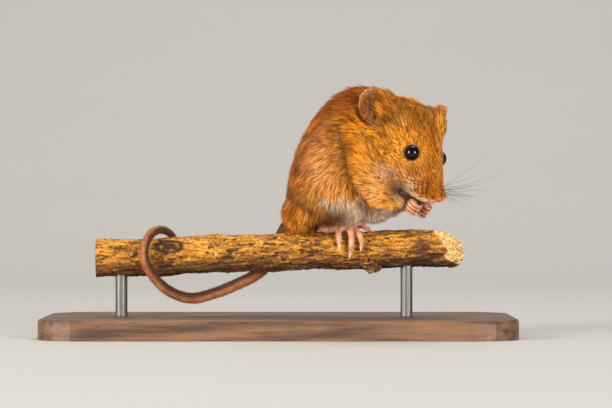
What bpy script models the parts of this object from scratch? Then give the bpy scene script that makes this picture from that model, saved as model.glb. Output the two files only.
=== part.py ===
"""Eurasian harvest mouse at life size, sitting on a cut length of branch with its tail wrapped round it,
forepaws held to its mouth, on a plain display stand.

+Z is up, the mouse's rump is at -X and its head at +X, turned towards -Y. The origin is the middle of the
stand's underside. Every size below is in millimetres, and put_in_scene brings the finished solids to metres.
The mouse's solids reach to the tips of its fur.
"""

import math

import bmesh
import bpy
import numpy as np
from mathutils import Matrix, Vector

METRES_PER_MM = 0.001
GAP = 0.3  # between neighbouring solids

# Stand
BASE_LENGTH, BASE_WIDTH, BASE_HEIGHT = 94.0, 44.0, 4.0
BASE_CORNER, BASE_EDGE = 9.0, 0.6
ROD_RADIUS = 1.2
ROD_FOOT = 2.0  # height at which the rods start, inside the base
ROD_X = (-31.5, 25.5)
ROD_INSET = 1.4  # how far below the branch's axis the rods end

# Branch
BRANCH_RADIUS = 3.8
BRANCH_AXIS = (
    (-36.5, 0.0, 15.6),
    (-20.0, 0.0, 15.9),
    (-11.0, 0.0, 16.5),
    (1.4, 0.0, 16.9),
    (13.2, 0.0, 17.1),
    (33.0, 0.0, 17.5),
)
BRANCH_RINGS, BRANCH_SIDES = 23, 18
#   how far past the axis's end, share of the radius, how uneven
BREAK_RINGS = ((-1.3, 0.98, 0.3), (0.3, 0.9, 0.5), (1.4, 0.7, 0.6), (2.6, 0.45, 0.5), (3.3, 0.2, 0.3))
BREAK_SLANT = 1.6  # how much further the broken end reaches below than above

STUB = ((18.6, -1.0, 15.5, 2.1), (19.0, -1.7, 14.3, 1.7), (19.3, -2.1, 13.6, 1.1))
SCAR, SCAR_RADII = (-21.8, -2.6, 17.6), (2.9, 1.05, 1.6)

# Head, in its own axes: forwards, to the mouse's left, and up, from the middle between the eyes
EYES_MIDDLE = np.array((28.8, -7.0, 35.9))
HEAD_YAW, HEAD_PITCH, HEAD_ROLL = 54.8, 41.7, 11.0  # towards -Y, nose down, right side up, in degrees
#   forwards, top, widest level, bottom, half width
HEAD_SECTIONS = (
    (-13.6, 1.9, 0.0, -2.2, 2.2),
    (-13.0, 4.0, -0.3, -4.6, 4.6),
    (-11.0, 5.1, -0.3, -6.6, 6.5),
    (-8.5, 5.45, 0.0, -7.4, 7.3),
    (-6.0, 5.3, 0.0, -7.5, 7.25),
    (-3.0, 4.7, -1.2, -7.3, 6.65),
    (-0.5, 4.0, -2.6, -6.9, 5.5),
    (1.5, 2.9, -3.1, -6.5, 4.9),
    (3.5, 1.5, -3.5, -6.0, 4.4),
    (5.5, -0.3, -3.7, -5.8, 4.0),
    (7.0, -1.6, -3.8, -5.6, 3.5),
    (8.0, -2.6, -3.9, -5.3, 2.7),
    (8.7, -3.4, -4.0, -4.7, 1.3),
)
CROWN_SQUARENESS = 2.6  # how far the corners of the head's sections are filled behind its eyes
EYE_RADIUS, EYE_PLACE = 1.6, (0.2, 3.7, 0.2)
EYE_OUTWARDS = (0.40, 0.87, 0.28)
LID_THICKNESS, LID_OPENING = 0.3, 66.0  # the opening in degrees from the middle of the eyeball's front
NOSE_PAD, NOSE_PAD_RADII = (8.5, 0.0, -4.55), (0.62, 0.95, 0.72)
NOSE_GAP = 0.15  # the pad is thin, so it sits closer
NOSTRIL, NOSTRIL_RADII = (9.02, 0.52, -4.6), (0.45, 0.35, 0.27)
WHISKER_PAD, WHISKER_PAD_RADII = (5.8, 2.3, -3.95), (2.7, 2.25, 1.9)
UPPER_LIP = ((7.9, 0.45, -5.3), (7.1, 1.9, -5.5), (5.3, 2.8, -5.75), (3.0, 3.1, -6.2))
LIP_GROOVE, LIP_GROOVE_SIZE = (8.4, 0.0, -5.4), (2.2, 0.34, 1.3)
LIP_RADIUS = 0.38
JAW = ((-1.2, 0.0, -6.4), (1.0, 0.0, -6.6), (3.6, 0.0, -6.4), (5.3, 0.0, -6.1))
JAW_RADII = ((1.6, 1.0), (2.6, 1.6), (2.1, 1.25), (0.9, 0.6))

# Ears, as cups
EAR_ROOTS = {-1: (-7.5, 5.8, -0.4), 1: (-7.6, 6.0, -0.2)}
EAR_AXIS = (-0.62, 0.64, 0.43)
EAR_FACES = {-1: (1.0, 0.6, 0.0), 1: (1.0, -0.15, 0.0)}  # the left ear is turned further forwards
EAR_LENGTH, EAR_WIDTH, EAR_CUP, EAR_THICKNESS = 8.8, 6.2, 1.9, 0.55
EAR_MIDDLE = 0.92  # of half its length: where along the ear its cup is deepest
EAR_NARROWING = 0.42  # of its width, at the root
#   the swelling of the head that an ear grows from
EAR_BASE, EAR_BASE_RADII = (-7.2, 4.0, 2.3), (5.0, 3.2, 3.2)

# Trunk: the middle of each section, the way its back faces, and its half sizes to back, belly and sides
#   x, y, z, back x, back z, back, belly, side
TRUNK_SECTIONS = (
    (4.2, 0.0, 22.6, -0.98, 0.20, 1.6, 1.8, 2.0),
    (4.9, 0.0, 23.6, -0.97, 0.22, 3.4, 4.2, 5.0),
    (6.6, 0.0, 26.0, -0.95, 0.31, 5.4, 7.0, 8.2),
    (10.0, 0.0, 30.5, -0.93, 0.37, 8.3, 8.6, 9.9),
    (12.8, -0.2, 34.8, -0.84, 0.54, 9.6, 9.2, 10.0),
    (15.4, -0.5, 38.6, -0.68, 0.73, 9.6, 9.0, 9.2),
    (18.2, -0.6, 41.0, -0.45, 0.89, 9.4, 8.2, 7.4),
    (21.0, -0.6, 42.3, -0.20, 0.98, 7.6, 7.2, 6.2),
    (23.4, -0.9, 42.4, 0.05, 1.00, 5.8, 6.0, 5.4),
    (24.8, -1.4, 42.2, 0.15, 0.99, 2.4, 2.4, 2.4),
)
SHOULDER_TURN = 25.0  # degrees that the shoulders are turned towards -Y from the hips
CHEST, CHEST_RADII = (18.3, -1.2, 30.2), (7.9, 8.4, 7.6)
RUMP, RUMP_RADII = (5.3, 0.0, 25.3), (4.8, 8.0, 4.7)
NECK_CUT, NECK_WAY = (20.2, -0.6, 42.0), (0.80, -0.15, 0.35)
CUT_REACH = 60.0  # the size of a block that cuts the whole body across
LIMB_MARGIN = 0.5  # how far a limb's solid reaches past its own form

# Legs; the left ones mirror the right ones across the hips or the shoulders
THIGH, THIGH_RADII, THIGH_AXIS = (10.6, -5.9, 28.6), (7.8, 4.6, 6.1), (0.93, -0.18, -0.30)
#   x, y, z, radius
ARM = (
    (15.6, -5.6, 39.0, 2.6),
    (16.0, -6.3, 35.8, 4.5),
    (17.0, -7.3, 31.6, 4.7),
    (19.6, -8.6, 28.3, 3.5),
    (22.6, -9.3, 26.9, 2.1),
    (24.6, -9.6, 26.6, 1.15),
)
SHOULDERS_MIDDLE = np.array((19.9, -0.7))
#   along the branch, angle down its near side from its top, height over the bark, radius
FOOT = (
    (7.9, 26, 1.1, 0.75),
    (9.2, 26, 1.0, 0.95),
    (11.5, 25, 1.0, 0.95),
    (13.6, 22, 1.0, 0.95),
    (14.7, 20, 1.0, 0.7),
)
TOES = (
    ((12.0, 25, 0.95, 0.55), (11.8, 42, 0.85, 0.55), (11.9, 62, 0.65, 0.46), (12.0, 80, 0.48, 0.2)),
    (
        (13.6, 22, 1.0, 0.6),
        (14.2, 42, 1.1, 0.6),
        (14.4, 66, 0.8, 0.55),
        (14.2, 86, 0.65, 0.45),
        (14.1, 101, 0.5, 0.2),
    ),
    (
        (14.5, 20, 1.0, 0.6),
        (15.5, 38, 1.1, 0.58),
        (16.2, 58, 0.8, 0.52),
        (16.4, 72, 0.65, 0.42),
        (16.3, 86, 0.5, 0.2),
    ),
    ((14.4, 18, 1.0, 0.6), (16.0, 16, 1.45, 0.58), (17.3, 26, 0.9, 0.5), (18.5, 36, 0.5, 0.2)),
    ((12.9, 20, 1.0, 0.55), (14.5, 10, 1.1, 0.52), (15.8, 9, 0.75, 0.45), (16.9, 9, 0.48, 0.2)),
)
#   in the head's axes
PALM, PALM_RADII = (6.3, 1.75, -8.0), (1.25, 1.15, 1.5)
WRIST = (5.9, 2.7, -8.0)
FINGER_LEVELS = (1.15, 0.4, -0.35, -1.05)
FINGER_RADIUS = 0.36

# Tail, from its root on the rump round the branch to its tip
#   x, y, z, radius
TAIL = (
    (2.6, 2.9, 22.9, 1.5),
    (1.2, 4.7, 21.2, 1.35),
    (-0.3, 5.5, 18.0, 1.22),
    (-1.7, 5.3, 15.0, 1.18),
    (-4.2, 4.2, 12.5, 1.16),
    (-8.4, 2.8, 10.3, 1.13),
    (-13.0, 1.0, 8.5, 1.09),
    (-17.8, -1.2, 7.6, 1.05),
    (-22.0, -3.3, 9.2, 1.0),
    (-25.0, -4.9, 12.3, 0.95),
    (-26.6, -5.6, 15.7, 0.9),
    (-26.3, -4.6, 18.9, 0.85),
    (-24.9, -2.2, 20.9, 0.8),
    (-22.9, 0.7, 21.1, 0.74),
    (-21.3, 3.3, 19.6, 0.67),
    (-20.4, 4.8, 17.0, 0.58),
    (-20.0, 4.5, 14.3, 0.42),
)
TAIL_LENGTHS, TAIL_POINTS, TAIL_SIDES = 6, 73, 10

# Fineness of the flesh before it is divided
FLESH_GRAIN, FLESH_SMOOTHING, FLESH_KEPT = 0.9, 5, 0.13
HEAD_GRAIN, HEAD_SMOOTHING, HEAD_KEPT = 0.42, 6, 0.065
TORSO_KEPT = 0.5


def hermite(x, y, at):
    """Values at `at` on a smooth curve through y over x: cubic spans, with slopes taken from the neighbours."""
    x, y, at = (np.asarray(v, float) for v in (x, y, at))
    slope = np.gradient(y, x, axis=0)
    i = np.clip(np.searchsorted(x, at, side="right") - 1, 0, len(x) - 2)
    span = (x[i + 1] - x[i])[:, None]
    t = (at - x[i])[:, None] / span
    return (
        (2 * t**3 - 3 * t**2 + 1) * y[i]
        + (t**3 - 2 * t**2 + t) * span * slope[i]
        + (3 * t**2 - 2 * t**3) * y[i + 1]
        + (t**3 - t**2) * span * slope[i + 1]
    )


def along(points, count):
    """`count` rows evenly spaced on a smooth curve through rows whose first three numbers are a place."""
    points = np.asarray(points, float)
    length = np.r_[0, np.cumsum(np.linalg.norm(np.diff(points[:, :3], axis=0), axis=1))]
    return hermite(length, points, np.linspace(0, length[-1], count))


def unit(vectors):
    return vectors / np.linalg.norm(vectors, axis=-1, keepdims=True)


def head_axes():
    """The head's forward, left and up directions as the rows of a matrix."""
    turned = Matrix.Rotation(math.radians(-HEAD_YAW), 3, "Z")
    pitched = Matrix.Rotation(math.radians(HEAD_PITCH), 3, "Y")
    rolled = Matrix.Rotation(math.radians(-HEAD_ROLL), 3, "X")
    return np.array((turned @ pitched @ rolled).transposed())


HEAD_AXES = head_axes()


def from_head(points, side=1):
    """Places given in the head's axes, for the left side, or mirrored to the right one with side -1."""
    return EYES_MIDDLE + (np.asarray(points, float) * (1, side, 1)) @ HEAD_AXES


def direction_from_head(vector, side=1):
    return unit((np.asarray(vector, float) * (1, side, 1)) @ HEAD_AXES)


def on_branch(rows, side):
    """Places and radii round the branch, from rows of length along it, angle from its top, height and radius."""
    x, angle, height, radius = np.asarray(rows, float).T
    middle = hermite(np.array(BRANCH_AXIS)[:, 0], np.array(BRANCH_AXIS), x)
    reach = BRANCH_RADIUS + GAP + height
    angle = np.radians(angle)
    return np.stack([x, side * reach * np.sin(angle), middle[:, 2] + reach * np.cos(angle), radius], 1)


# Making and joining shapes


def link(obj):
    bpy.context.scene.collection.objects.link(obj)
    return obj


def shape(name, vertices, faces):
    """A mesh object with its faces pointing out."""
    mesh = bpy.data.meshes.new(name)
    mesh.from_pydata([tuple(v) for v in vertices], [], faces)
    work = bmesh.new()
    work.from_mesh(mesh)
    bmesh.ops.recalc_face_normals(work, faces=work.faces)
    work.to_mesh(mesh)
    work.free()
    return link(bpy.data.objects.new(name, mesh))


def settle(obj, weld=1e-4):
    """The object as a plain mesh, with its modifiers and place applied and a curve's caps welded on."""
    bpy.context.view_layer.update()
    evaluated = obj.evaluated_get(bpy.context.evaluated_depsgraph_get())
    mesh = bpy.data.meshes.new_from_object(evaluated)
    mesh.transform(obj.matrix_world)
    name = obj.name
    bpy.data.objects.remove(obj)
    work = bmesh.new()
    work.from_mesh(mesh)
    bmesh.ops.remove_doubles(work, verts=work.verts, dist=weld)
    bmesh.ops.triangulate(work, faces=work.faces)
    work.to_mesh(mesh)
    work.free()
    return link(bpy.data.objects.new(name, mesh))


def copy_of(obj, grown=0.0):
    """A copy of a mesh object, each vertex moved out along its normal by `grown`."""
    mesh = obj.data.copy()
    if grown:
        work = bmesh.new()
        work.from_mesh(mesh)
        for vertex in work.verts:
            vertex.co += vertex.normal * grown
        work.to_mesh(mesh)
        work.free()
    return link(bpy.data.objects.new(obj.name + "_copy", mesh))


def boolean(obj, other, operation, solver="EXACT"):
    modifier = obj.modifiers.new("boolean", "BOOLEAN")
    modifier.operation, modifier.solver, modifier.object = operation, solver, other
    obj = settle(obj)
    bpy.data.objects.remove(other)
    return obj


def cut_by(obj, other, gap=GAP):
    """Takes another solid, grown by the gap, out of this one. The other solid stays. A grown solid can cross
    itself between its fingers or toes, where the exact solver fails."""
    return boolean(obj, copy_of(other, gap), "DIFFERENCE", "MANIFOLD")


def fuse(pieces):
    """One solid from overlapping closed meshes, by one union with a collection that is then emptied."""
    first, *rest = pieces
    group = bpy.data.collections.new("joined")
    for piece in rest:
        group.objects.link(piece)
    modifier = first.modifiers.new("union", "BOOLEAN")
    modifier.operation, modifier.solver = "UNION", "EXACT"
    modifier.operand_type, modifier.collection = "COLLECTION", group
    fused = settle(first)
    for piece in rest:
        bpy.data.objects.remove(piece)
    bpy.data.collections.remove(group)
    return fused


def grain(pieces, size, smoothing, kept):
    """One smooth skin round overlapping closed meshes: a voxel remesh, smoothed, and thinned to a share of its
    faces."""
    first, *rest = pieces
    work = bmesh.new()
    for piece in pieces:
        work.from_mesh(piece.data)
    work.to_mesh(first.data)
    work.free()
    for piece in rest:
        bpy.data.objects.remove(piece)
    remesh = first.modifiers.new("remesh", "REMESH")
    remesh.mode, remesh.voxel_size = "VOXEL", size
    smooth = first.modifiers.new("smooth", "SMOOTH")
    smooth.factor, smooth.iterations = 0.5, smoothing
    thin = first.modifiers.new("thin", "DECIMATE")
    thin.ratio = kept
    return settle(first, 1e-3)


def thinned(obj, kept):
    """A finished solid with a share of its faces left, to drop the small ones that cutting leaves."""
    modifier = obj.modifiers.new("thin", "DECIMATE")
    modifier.ratio = kept
    return settle(obj, 1e-3)


def largest(obj):
    """Keeps the largest closed surface of a mesh, which drops scraps and sealed hollows."""
    work = bmesh.new()
    work.from_mesh(obj.data)
    left, bodies = set(work.faces), []
    while left:
        found, todo = set(), [next(iter(left))]
        while todo:
            face = todo.pop()
            if face in found:
                continue
            found.add(face)
            todo += [near for edge in face.edges for near in edge.link_faces if near not in found]
        bodies.append(found)
        left -= found
    main = max(bodies, key=len)
    spare = [face for face in work.faces if face not in main]
    bmesh.ops.delete(work, geom=spare, context="FACES")
    work.to_mesh(obj.data)
    work.free()
    return obj


def ellipsoid(name, middle, radii, axes=None, around=20, rings=12):
    """A round body with its own three axes, given as the rows of a matrix."""
    axes = np.eye(3) if axes is None else axes
    work = bmesh.new()
    bmesh.ops.create_uvsphere(work, u_segments=around, v_segments=rings, radius=1.0)
    placed = np.array([v.co for v in work.verts]) * radii @ axes + middle
    for vertex, place in zip(work.verts, placed):
        vertex.co = place
    bmesh.ops.recalc_face_normals(work, faces=work.faces)
    mesh = bpy.data.meshes.new(name)
    work.to_mesh(mesh)
    work.free()
    return link(bpy.data.objects.new(name, mesh))


def tube(name, rows, sides=8):
    """A round tube with filled ends through rows of place and radius: a bevelled curve made a mesh."""
    curve = bpy.data.curves.new(name, "CURVE")
    curve.dimensions, curve.use_fill_caps = "3D", True
    curve.bevel_depth, curve.bevel_resolution = 1.0, max(sides // 2 - 2, 0)
    spline = curve.splines.new("POLY")
    spline.points.add(len(rows) - 1)
    for point, (x, y, z, radius) in zip(spline.points, rows):
        point.co = (x, y, z, 1.0)
        point.radius = radius
    return settle(link(bpy.data.objects.new(name, curve)))


def loft(name, middles, sideways, upwards, widths, tops, bottoms, sides=26, squareness=None):
    """A closed surface through upright sections. A section is an ellipse whose upper and lower halves differ in
    height, with its corners filled as its squareness passes 2."""
    angle = np.linspace(0, 2 * np.pi, sides, endpoint=False)
    c, s = np.cos(angle), np.sin(angle)
    squareness = np.full(len(middles), 2.0) if squareness is None else squareness
    power = (2 / squareness)[:, None]
    across = np.sign(c) * np.abs(c) ** power
    over = np.sign(s) * np.abs(s) ** power
    height = np.where(s >= 0, tops[:, None], bottoms[:, None])
    rings = (
        middles[:, None]
        + sideways[:, None] * (widths[:, None] * across)[..., None]
        + upwards[:, None] * (height * over)[..., None]
    )
    count = len(middles)
    vertices = [*rings.reshape(-1, 3), middles[0], middles[-1]]
    faces = [
        (i * sides + j, i * sides + (j + 1) % sides, (i + 1) * sides + (j + 1) % sides, (i + 1) * sides + j)
        for i in range(count - 1)
        for j in range(sides)
    ]
    last = (count - 1) * sides
    faces += [(count * sides, (j + 1) % sides, j) for j in range(sides)]
    faces += [(count * sides + 1, last + j, last + (j + 1) % sides) for j in range(sides)]
    return shape(name, vertices, faces)


def block(name, middle, size, axes=None):
    """A box with its own three axes."""
    axes = np.eye(3) if axes is None else axes
    work = bmesh.new()
    bmesh.ops.create_cube(work, size=1.0)
    for vertex in work.verts:
        vertex.co = Vector(np.array(vertex.co) * size @ axes + middle)
    bmesh.ops.recalc_face_normals(work, faces=work.faces)
    mesh = bpy.data.meshes.new(name)
    work.to_mesh(mesh)
    work.free()
    return link(bpy.data.objects.new(name, mesh))


def cylinder(name, radius, low, high, x, y=0.0, sides=24):
    work = bmesh.new()
    bmesh.ops.create_cone(
        work, cap_ends=True, segments=sides, radius1=radius, radius2=radius, depth=high - low,
        matrix=Matrix.Translation((x, y, (low + high) / 2)),
    )
    mesh = bpy.data.meshes.new(name)
    work.to_mesh(mesh)
    work.free()
    return link(bpy.data.objects.new(name, mesh))


# Stand and branch


def branch():
    """A loft along the branch's axis, its bark uneven by a few sines, one end sawn and the other broken in a
    ragged stump, with a stub below, a scar in front and sockets for the rods."""
    rows = along(BRANCH_AXIS, BRANCH_RINGS)
    angle = np.linspace(0, 2 * np.pi, BRANCH_SIDES, endpoint=False)
    share = np.linspace(0, 1, BRANCH_RINGS)[:, None]
    uneven = 0.10 * np.sin(3 * angle + 9 * share) + 0.08 * np.sin(5 * angle - 17 * share)
    uneven = uneven + 0.12 * np.sin(21 * share + 2 * np.cos(angle))
    radius = BRANCH_RADIUS - 0.12 + uneven
    height, near = np.cos(angle), np.sin(angle)
    end = rows[-1, :3]
    rings = [np.stack([rows[:, :1] + 0 * angle, -radius * near, rows[:, 2:3] + radius * height], 2)]
    for past, size, ragged in BREAK_RINGS:
        x = end[0] + past + BREAK_SLANT * (0.2 - height) * size + ragged * np.sin(4 * angle + 9 * size)
        reach = BRANCH_RADIUS * (size + 0.06 * np.sin(7 * angle + 5 * size))
        rings.append(np.stack([x, -reach * near, end[2] + reach * height], 1)[None])
    rings[0] = rings[0][:-1]
    rings = np.concatenate(rings)
    sides, count = BRANCH_SIDES, len(rings)
    faces = [
        (i * sides + j, i * sides + (j + 1) % sides, (i + 1) * sides + (j + 1) % sides, (i + 1) * sides + j)
        for i in range(count - 1)
        for j in range(sides)
    ]
    faces += [(count * sides, (j + 1) % sides, j) for j in range(sides)]
    last = (count - 1) * sides
    faces += [(count * sides + 1, last + j, last + (j + 1) % sides) for j in range(sides)]
    last_middle = end + (BREAK_RINGS[-1][0] + 0.2, 0, 0)
    pieces = [shape("perch", [*rings.reshape(-1, 3), rows[0, :3], last_middle], faces)]
    pieces.append(tube("stub", STUB, 10))
    pieces.append(ellipsoid("scar", SCAR, SCAR_RADII, around=14, rings=8))
    wood = fuse(pieces)
    for x in ROD_X:
        axis_height = float(hermite(np.array(BRANCH_AXIS)[:, 0], np.array(BRANCH_AXIS), [x])[0, 2])
        top = axis_height - ROD_INSET + GAP
        wood = boolean(wood, cylinder("socket", ROD_RADIUS + GAP, 5.0, top, x), "DIFFERENCE")
    return largest(wood)


def stand():
    """A plate with rounded corners and an eased edge, and two rods set in it."""
    plate = block("stand_base", (0, 0, BASE_HEIGHT / 2), (BASE_LENGTH, BASE_WIDTH, BASE_HEIGHT))
    work = bmesh.new()
    work.from_mesh(plate.data)
    upright = [e for e in work.edges if abs(e.verts[0].co.z - e.verts[1].co.z) > BASE_HEIGHT / 2]
    bmesh.ops.bevel(work, geom=upright, offset=BASE_CORNER, segments=7, profile=0.5, affect="EDGES")
    top = [e for e in work.edges if min(v.co.z for v in e.verts) > BASE_HEIGHT - 1e-3]
    bmesh.ops.bevel(work, geom=top, offset=BASE_EDGE, segments=2, profile=0.5, affect="EDGES")
    work.to_mesh(plate.data)
    work.free()
    rods = []
    for side, x in zip(("left", "right"), ROD_X):
        hole = cylinder("hole", ROD_RADIUS + GAP, ROD_FOOT - GAP, BASE_HEIGHT + 2, x)
        plate = boolean(plate, hole, "DIFFERENCE")
        axis_height = float(hermite(np.array(BRANCH_AXIS)[:, 0], np.array(BRANCH_AXIS), [x])[0, 2])
        rods.append(cylinder(f"stand_rod_{side}", ROD_RADIUS, ROD_FOOT, axis_height - ROD_INSET, x))
    return [plate, *rods]


# Head


def eye_place(side):
    return from_head(EYE_PLACE, side)


def head():
    """The head with its whisker pads, lips and lids, its eye sockets and the groove below its nose."""
    table = np.array(HEAD_SECTIONS)
    forwards = np.linspace(table[0, 0], table[-1, 0], 22)
    top, level, bottom, width = hermite(table[:, 0], table[:, 1:], forwards).T
    middles = from_head(np.stack([forwards, 0 * forwards, level], 1))
    left = np.repeat(direction_from_head((0, 1, 0))[None], len(middles), 0)
    up = np.repeat(direction_from_head((0, 0, 1))[None], len(middles), 0)
    squareness = 2 + (CROWN_SQUARENESS - 2) * np.clip((-1.0 - forwards) / 4.0, 0, 1)
    pieces = [loft("head", middles, left, up, width, top - level, level - bottom, squareness=squareness)]
    for side in (-1, 1):
        pieces.append(ellipsoid("pad", from_head(WHISKER_PAD, side), WHISKER_PAD_RADII, HEAD_AXES))
        pieces.append(ellipsoid("base", from_head(EAR_BASE, side), EAR_BASE_RADII, HEAD_AXES))
        lip = along([(*from_head(p, side), LIP_RADIUS) for p in UPPER_LIP], 9)
        pieces.append(tube("lip", lip, 8))
    skull = grain(pieces, HEAD_GRAIN, HEAD_SMOOTHING, HEAD_KEPT)
    skull = fuse([skull, lid(-1), lid(1)])
    for side in (-1, 1):
        socket = ellipsoid("socket", eye_place(side), (EYE_RADIUS + GAP,) * 3, around=20, rings=12)
        skull = boolean(skull, socket, "DIFFERENCE")
    groove = block("groove", from_head(LIP_GROOVE), LIP_GROOVE_SIZE, HEAD_AXES)
    return largest(boolean(skull, groove, "DIFFERENCE"))


def lid(side):
    """The rim round one eye: a ring in the plane where the eyeball leaves the head."""
    outwards = Vector(direction_from_head(EYE_OUTWARDS, side))
    opening = math.radians(LID_OPENING)
    middle = Vector(eye_place(side)) + outwards * (EYE_RADIUS * math.cos(opening))
    ring = EYE_RADIUS * math.sin(opening) + GAP + LID_THICKNESS * 0.5
    bpy.ops.mesh.primitive_torus_add(
        major_segments=24, minor_segments=6, major_radius=ring, minor_radius=LID_THICKNESS,
        location=middle, rotation=outwards.to_track_quat("Z", "Y").to_euler(),
    )
    return settle(bpy.context.object)


def eye(name, side):
    outwards = Vector(direction_from_head(EYE_OUTWARDS, side))
    turn = np.array(outwards.to_track_quat("Z", "Y").to_matrix().transposed())
    return ellipsoid(name, eye_place(side), (EYE_RADIUS,) * 3, turn, around=16, rings=11)


def nose(skull):
    """The nose pad with its two nostrils, cut to sit on the muzzle."""
    pad = ellipsoid("nose", from_head(NOSE_PAD), NOSE_PAD_RADII, HEAD_AXES, around=14, rings=9)
    for side in (-1, 1):
        hole = ellipsoid("nostril", from_head(NOSTRIL, side), NOSTRIL_RADII, HEAD_AXES, 9, 5)
        pad = boolean(pad, hole, "DIFFERENCE")
    return largest(cut_by(pad, skull, NOSE_GAP))


def jaw(skull):
    """The lower jaw, whose cut against the head is the line of the mouth."""
    rows = along([(*from_head(p), *radii) for p, radii in zip(JAW, JAW_RADII)], 9)
    left = np.repeat(direction_from_head((0, 1, 0))[None], len(rows), 0)
    up = np.repeat(direction_from_head((0, 0, 1))[None], len(rows), 0)
    chin = loft("jaw", rows[:, :3], left, up, rows[:, 3], rows[:, 4], rows[:, 4], sides=18)
    return largest(cut_by(chin, skull))


def ear_form(name, side, grown=0.0):
    """A cup: rings about the middle of an oval, each ring sunk less, given its thickness."""
    axis = direction_from_head(EAR_AXIS, side)
    faces = direction_from_head(EAR_FACES[side], side)
    faces = unit(faces - axis * (faces @ axis))
    across = np.cross(faces, axis)
    root = from_head(EAR_ROOTS[side], side)
    rings, around = 5, 20
    share = np.linspace(0, 1, rings + 1)[1:, None]
    angle = np.linspace(0, 2 * np.pi, around, endpoint=False)[None]
    half = EAR_LENGTH / 2
    lengthwise = half * EAR_MIDDLE + (half + grown) * share * np.cos(angle)
    narrowing = 1 - EAR_NARROWING * np.clip(-np.cos(angle), 0, 1) ** 2
    sideways = (EAR_WIDTH / 2 + grown) * share * np.sin(angle) * narrowing
    sunk = EAR_CUP * (1 - share**2) + 0 * angle
    places = root + lengthwise[..., None] * axis + sideways[..., None] * across - sunk[..., None] * faces
    middle = root + axis * half * EAR_MIDDLE - faces * EAR_CUP
    vertices = [middle, *places.reshape(-1, 3)]
    rows = range(around)
    polygons = [(0, 1 + j, 1 + (j + 1) % around) for j in rows]
    for r in range(rings - 1):
        inner, outer = 1 + r * around, 1 + (r + 1) * around
        for j in rows:
            after = (j + 1) % around
            polygons.append((inner + j, outer + j, outer + after, inner + after))
    cup = shape(name, vertices, polygons)
    wall = cup.modifiers.new("wall", "SOLIDIFY")
    wall.thickness, wall.offset = EAR_THICKNESS + 2 * grown, 0.0
    return settle(cup)


# Trunk and legs


def turned(vector, degrees):
    """A level direction turned towards -Y."""
    a = math.radians(-degrees)
    x, y = vector
    return np.array((x * math.cos(a) - y * math.sin(a), x * math.sin(a) + y * math.cos(a)))


def trunk():
    """Sections from rump to neck, which turn towards -Y from the hips to the shoulders."""
    rows = along(TRUNK_SECTIONS, 24)
    share = np.linspace(0, 1, len(rows))
    turn = np.clip((share - 0.35) / 0.4, 0, 1) * SHOULDER_TURN
    back = np.stack([rows[:, 3], 0 * share, rows[:, 4]], 1)
    left = np.array([(*turned((0, 1), t), 0) for t in turn])
    back = unit(back - left * (back * left).sum(1)[:, None])
    return loft("torso", rows[:, :3], left, back, rows[:, 7], rows[:, 5], rows[:, 6])


def thigh_axes(side):
    """The thigh's own axes: along it, outwards and up."""
    axis = unit(np.array(THIGH_AXIS) * (1, -side, 1))
    up = unit(np.array((0, 0, 1)) - axis * axis[2])
    return np.stack([axis, np.cross(up, axis), up])


def thigh_form(name, side, grown=0.0):
    middle = np.array(THIGH) * (1, -side, 1)
    return ellipsoid(name, middle, np.array(THIGH_RADII) + grown, thigh_axes(side), around=24, rings=14)


def arm_rows(side):
    """The arm's places and radii. The left arm mirrors the right one across the turned shoulders, then bends in
    to reach its own wrist."""
    rows = along(ARM, 14)
    if side < 0:
        return rows
    left = turned((0, 1), SHOULDER_TURN)
    level = rows[:, :2] - SHOULDERS_MIDDLE
    level -= 2 * (level @ left)[:, None] * left
    rows[:, :2] = SHOULDERS_MIDDLE + level
    reach = from_head(WRIST, 1) - rows[-1, :3]
    rows[:, :3] += reach * np.linspace(0, 1, len(rows))[:, None] ** 2
    return rows


def arm_form(name, side, grown=0.0):
    rows = arm_rows(side)
    rows[:, 3] += grown
    ends = []
    for end, nxt in ((0, 1), (-1, -2)):
        way = unit(rows[end, :3] - rows[nxt, :3])
        ends.append([*(rows[end, :3] + way * rows[end, 3] * 0.6), rows[end, 3] * 0.6])
    return tube(name, [ends[0], *rows, ends[1]], 14)


def divide(whole, form, wider):
    """Parts a form from the whole: what lies inside the form, and the rest less the wider form."""
    inside = boolean(copy_of(whole), form, "INTERSECT", "MANIFOLD")
    return largest(inside), boolean(whole, wider, "DIFFERENCE", "MANIFOLD")


def body(others):
    """The trunk, thighs and arms as one skin, parted by thin cuts into torso, neck, thighs and arms."""
    pieces = [trunk()]
    pieces.append(ellipsoid("chest", CHEST, CHEST_RADII))
    pieces.append(ellipsoid("rump", RUMP, RUMP_RADII))
    pieces += [thigh_form("thigh", side) for side in (-1, 1)]
    pieces += [arm_form("arm", side) for side in (-1, 1)]
    whole = grain(pieces, FLESH_GRAIN, FLESH_SMOOTHING, FLESH_KEPT)
    for other in others:
        whole = cut_by(whole, other)
    for side in (-1, 1):
        whole = boolean(whole, ear_form("form", side, GAP), "DIFFERENCE", "MANIFOLD")
    nodes = {}
    for side, word in ((-1, "right"), (1, "left")):
        for limb, form in (("arm", arm_form), ("thigh", thigh_form)):
            inner, outer = form("form", side, LIMB_MARGIN), form("form", side, LIMB_MARGIN + GAP)
            nodes[f"{limb}_{word}"], whole = divide(whole, inner, outer)
    way = unit(np.array(NECK_WAY))
    level = unit(np.cross((0, 0, 1), way))
    axes = np.stack([way, level, np.cross(way, level)])
    step = way * (CUT_REACH + GAP) / 2
    ahead = block("ahead", NECK_CUT + step, (CUT_REACH,) * 3, axes)
    behind = block("behind", NECK_CUT - step, (CUT_REACH,) * 3, axes)
    neck = boolean(copy_of(whole), ahead, "INTERSECT", "MANIFOLD")
    nodes["torso"] = thinned(largest(boolean(whole, behind, "INTERSECT", "MANIFOLD")), TORSO_KEPT)
    nodes["neck"] = largest(neck)
    return nodes


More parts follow.
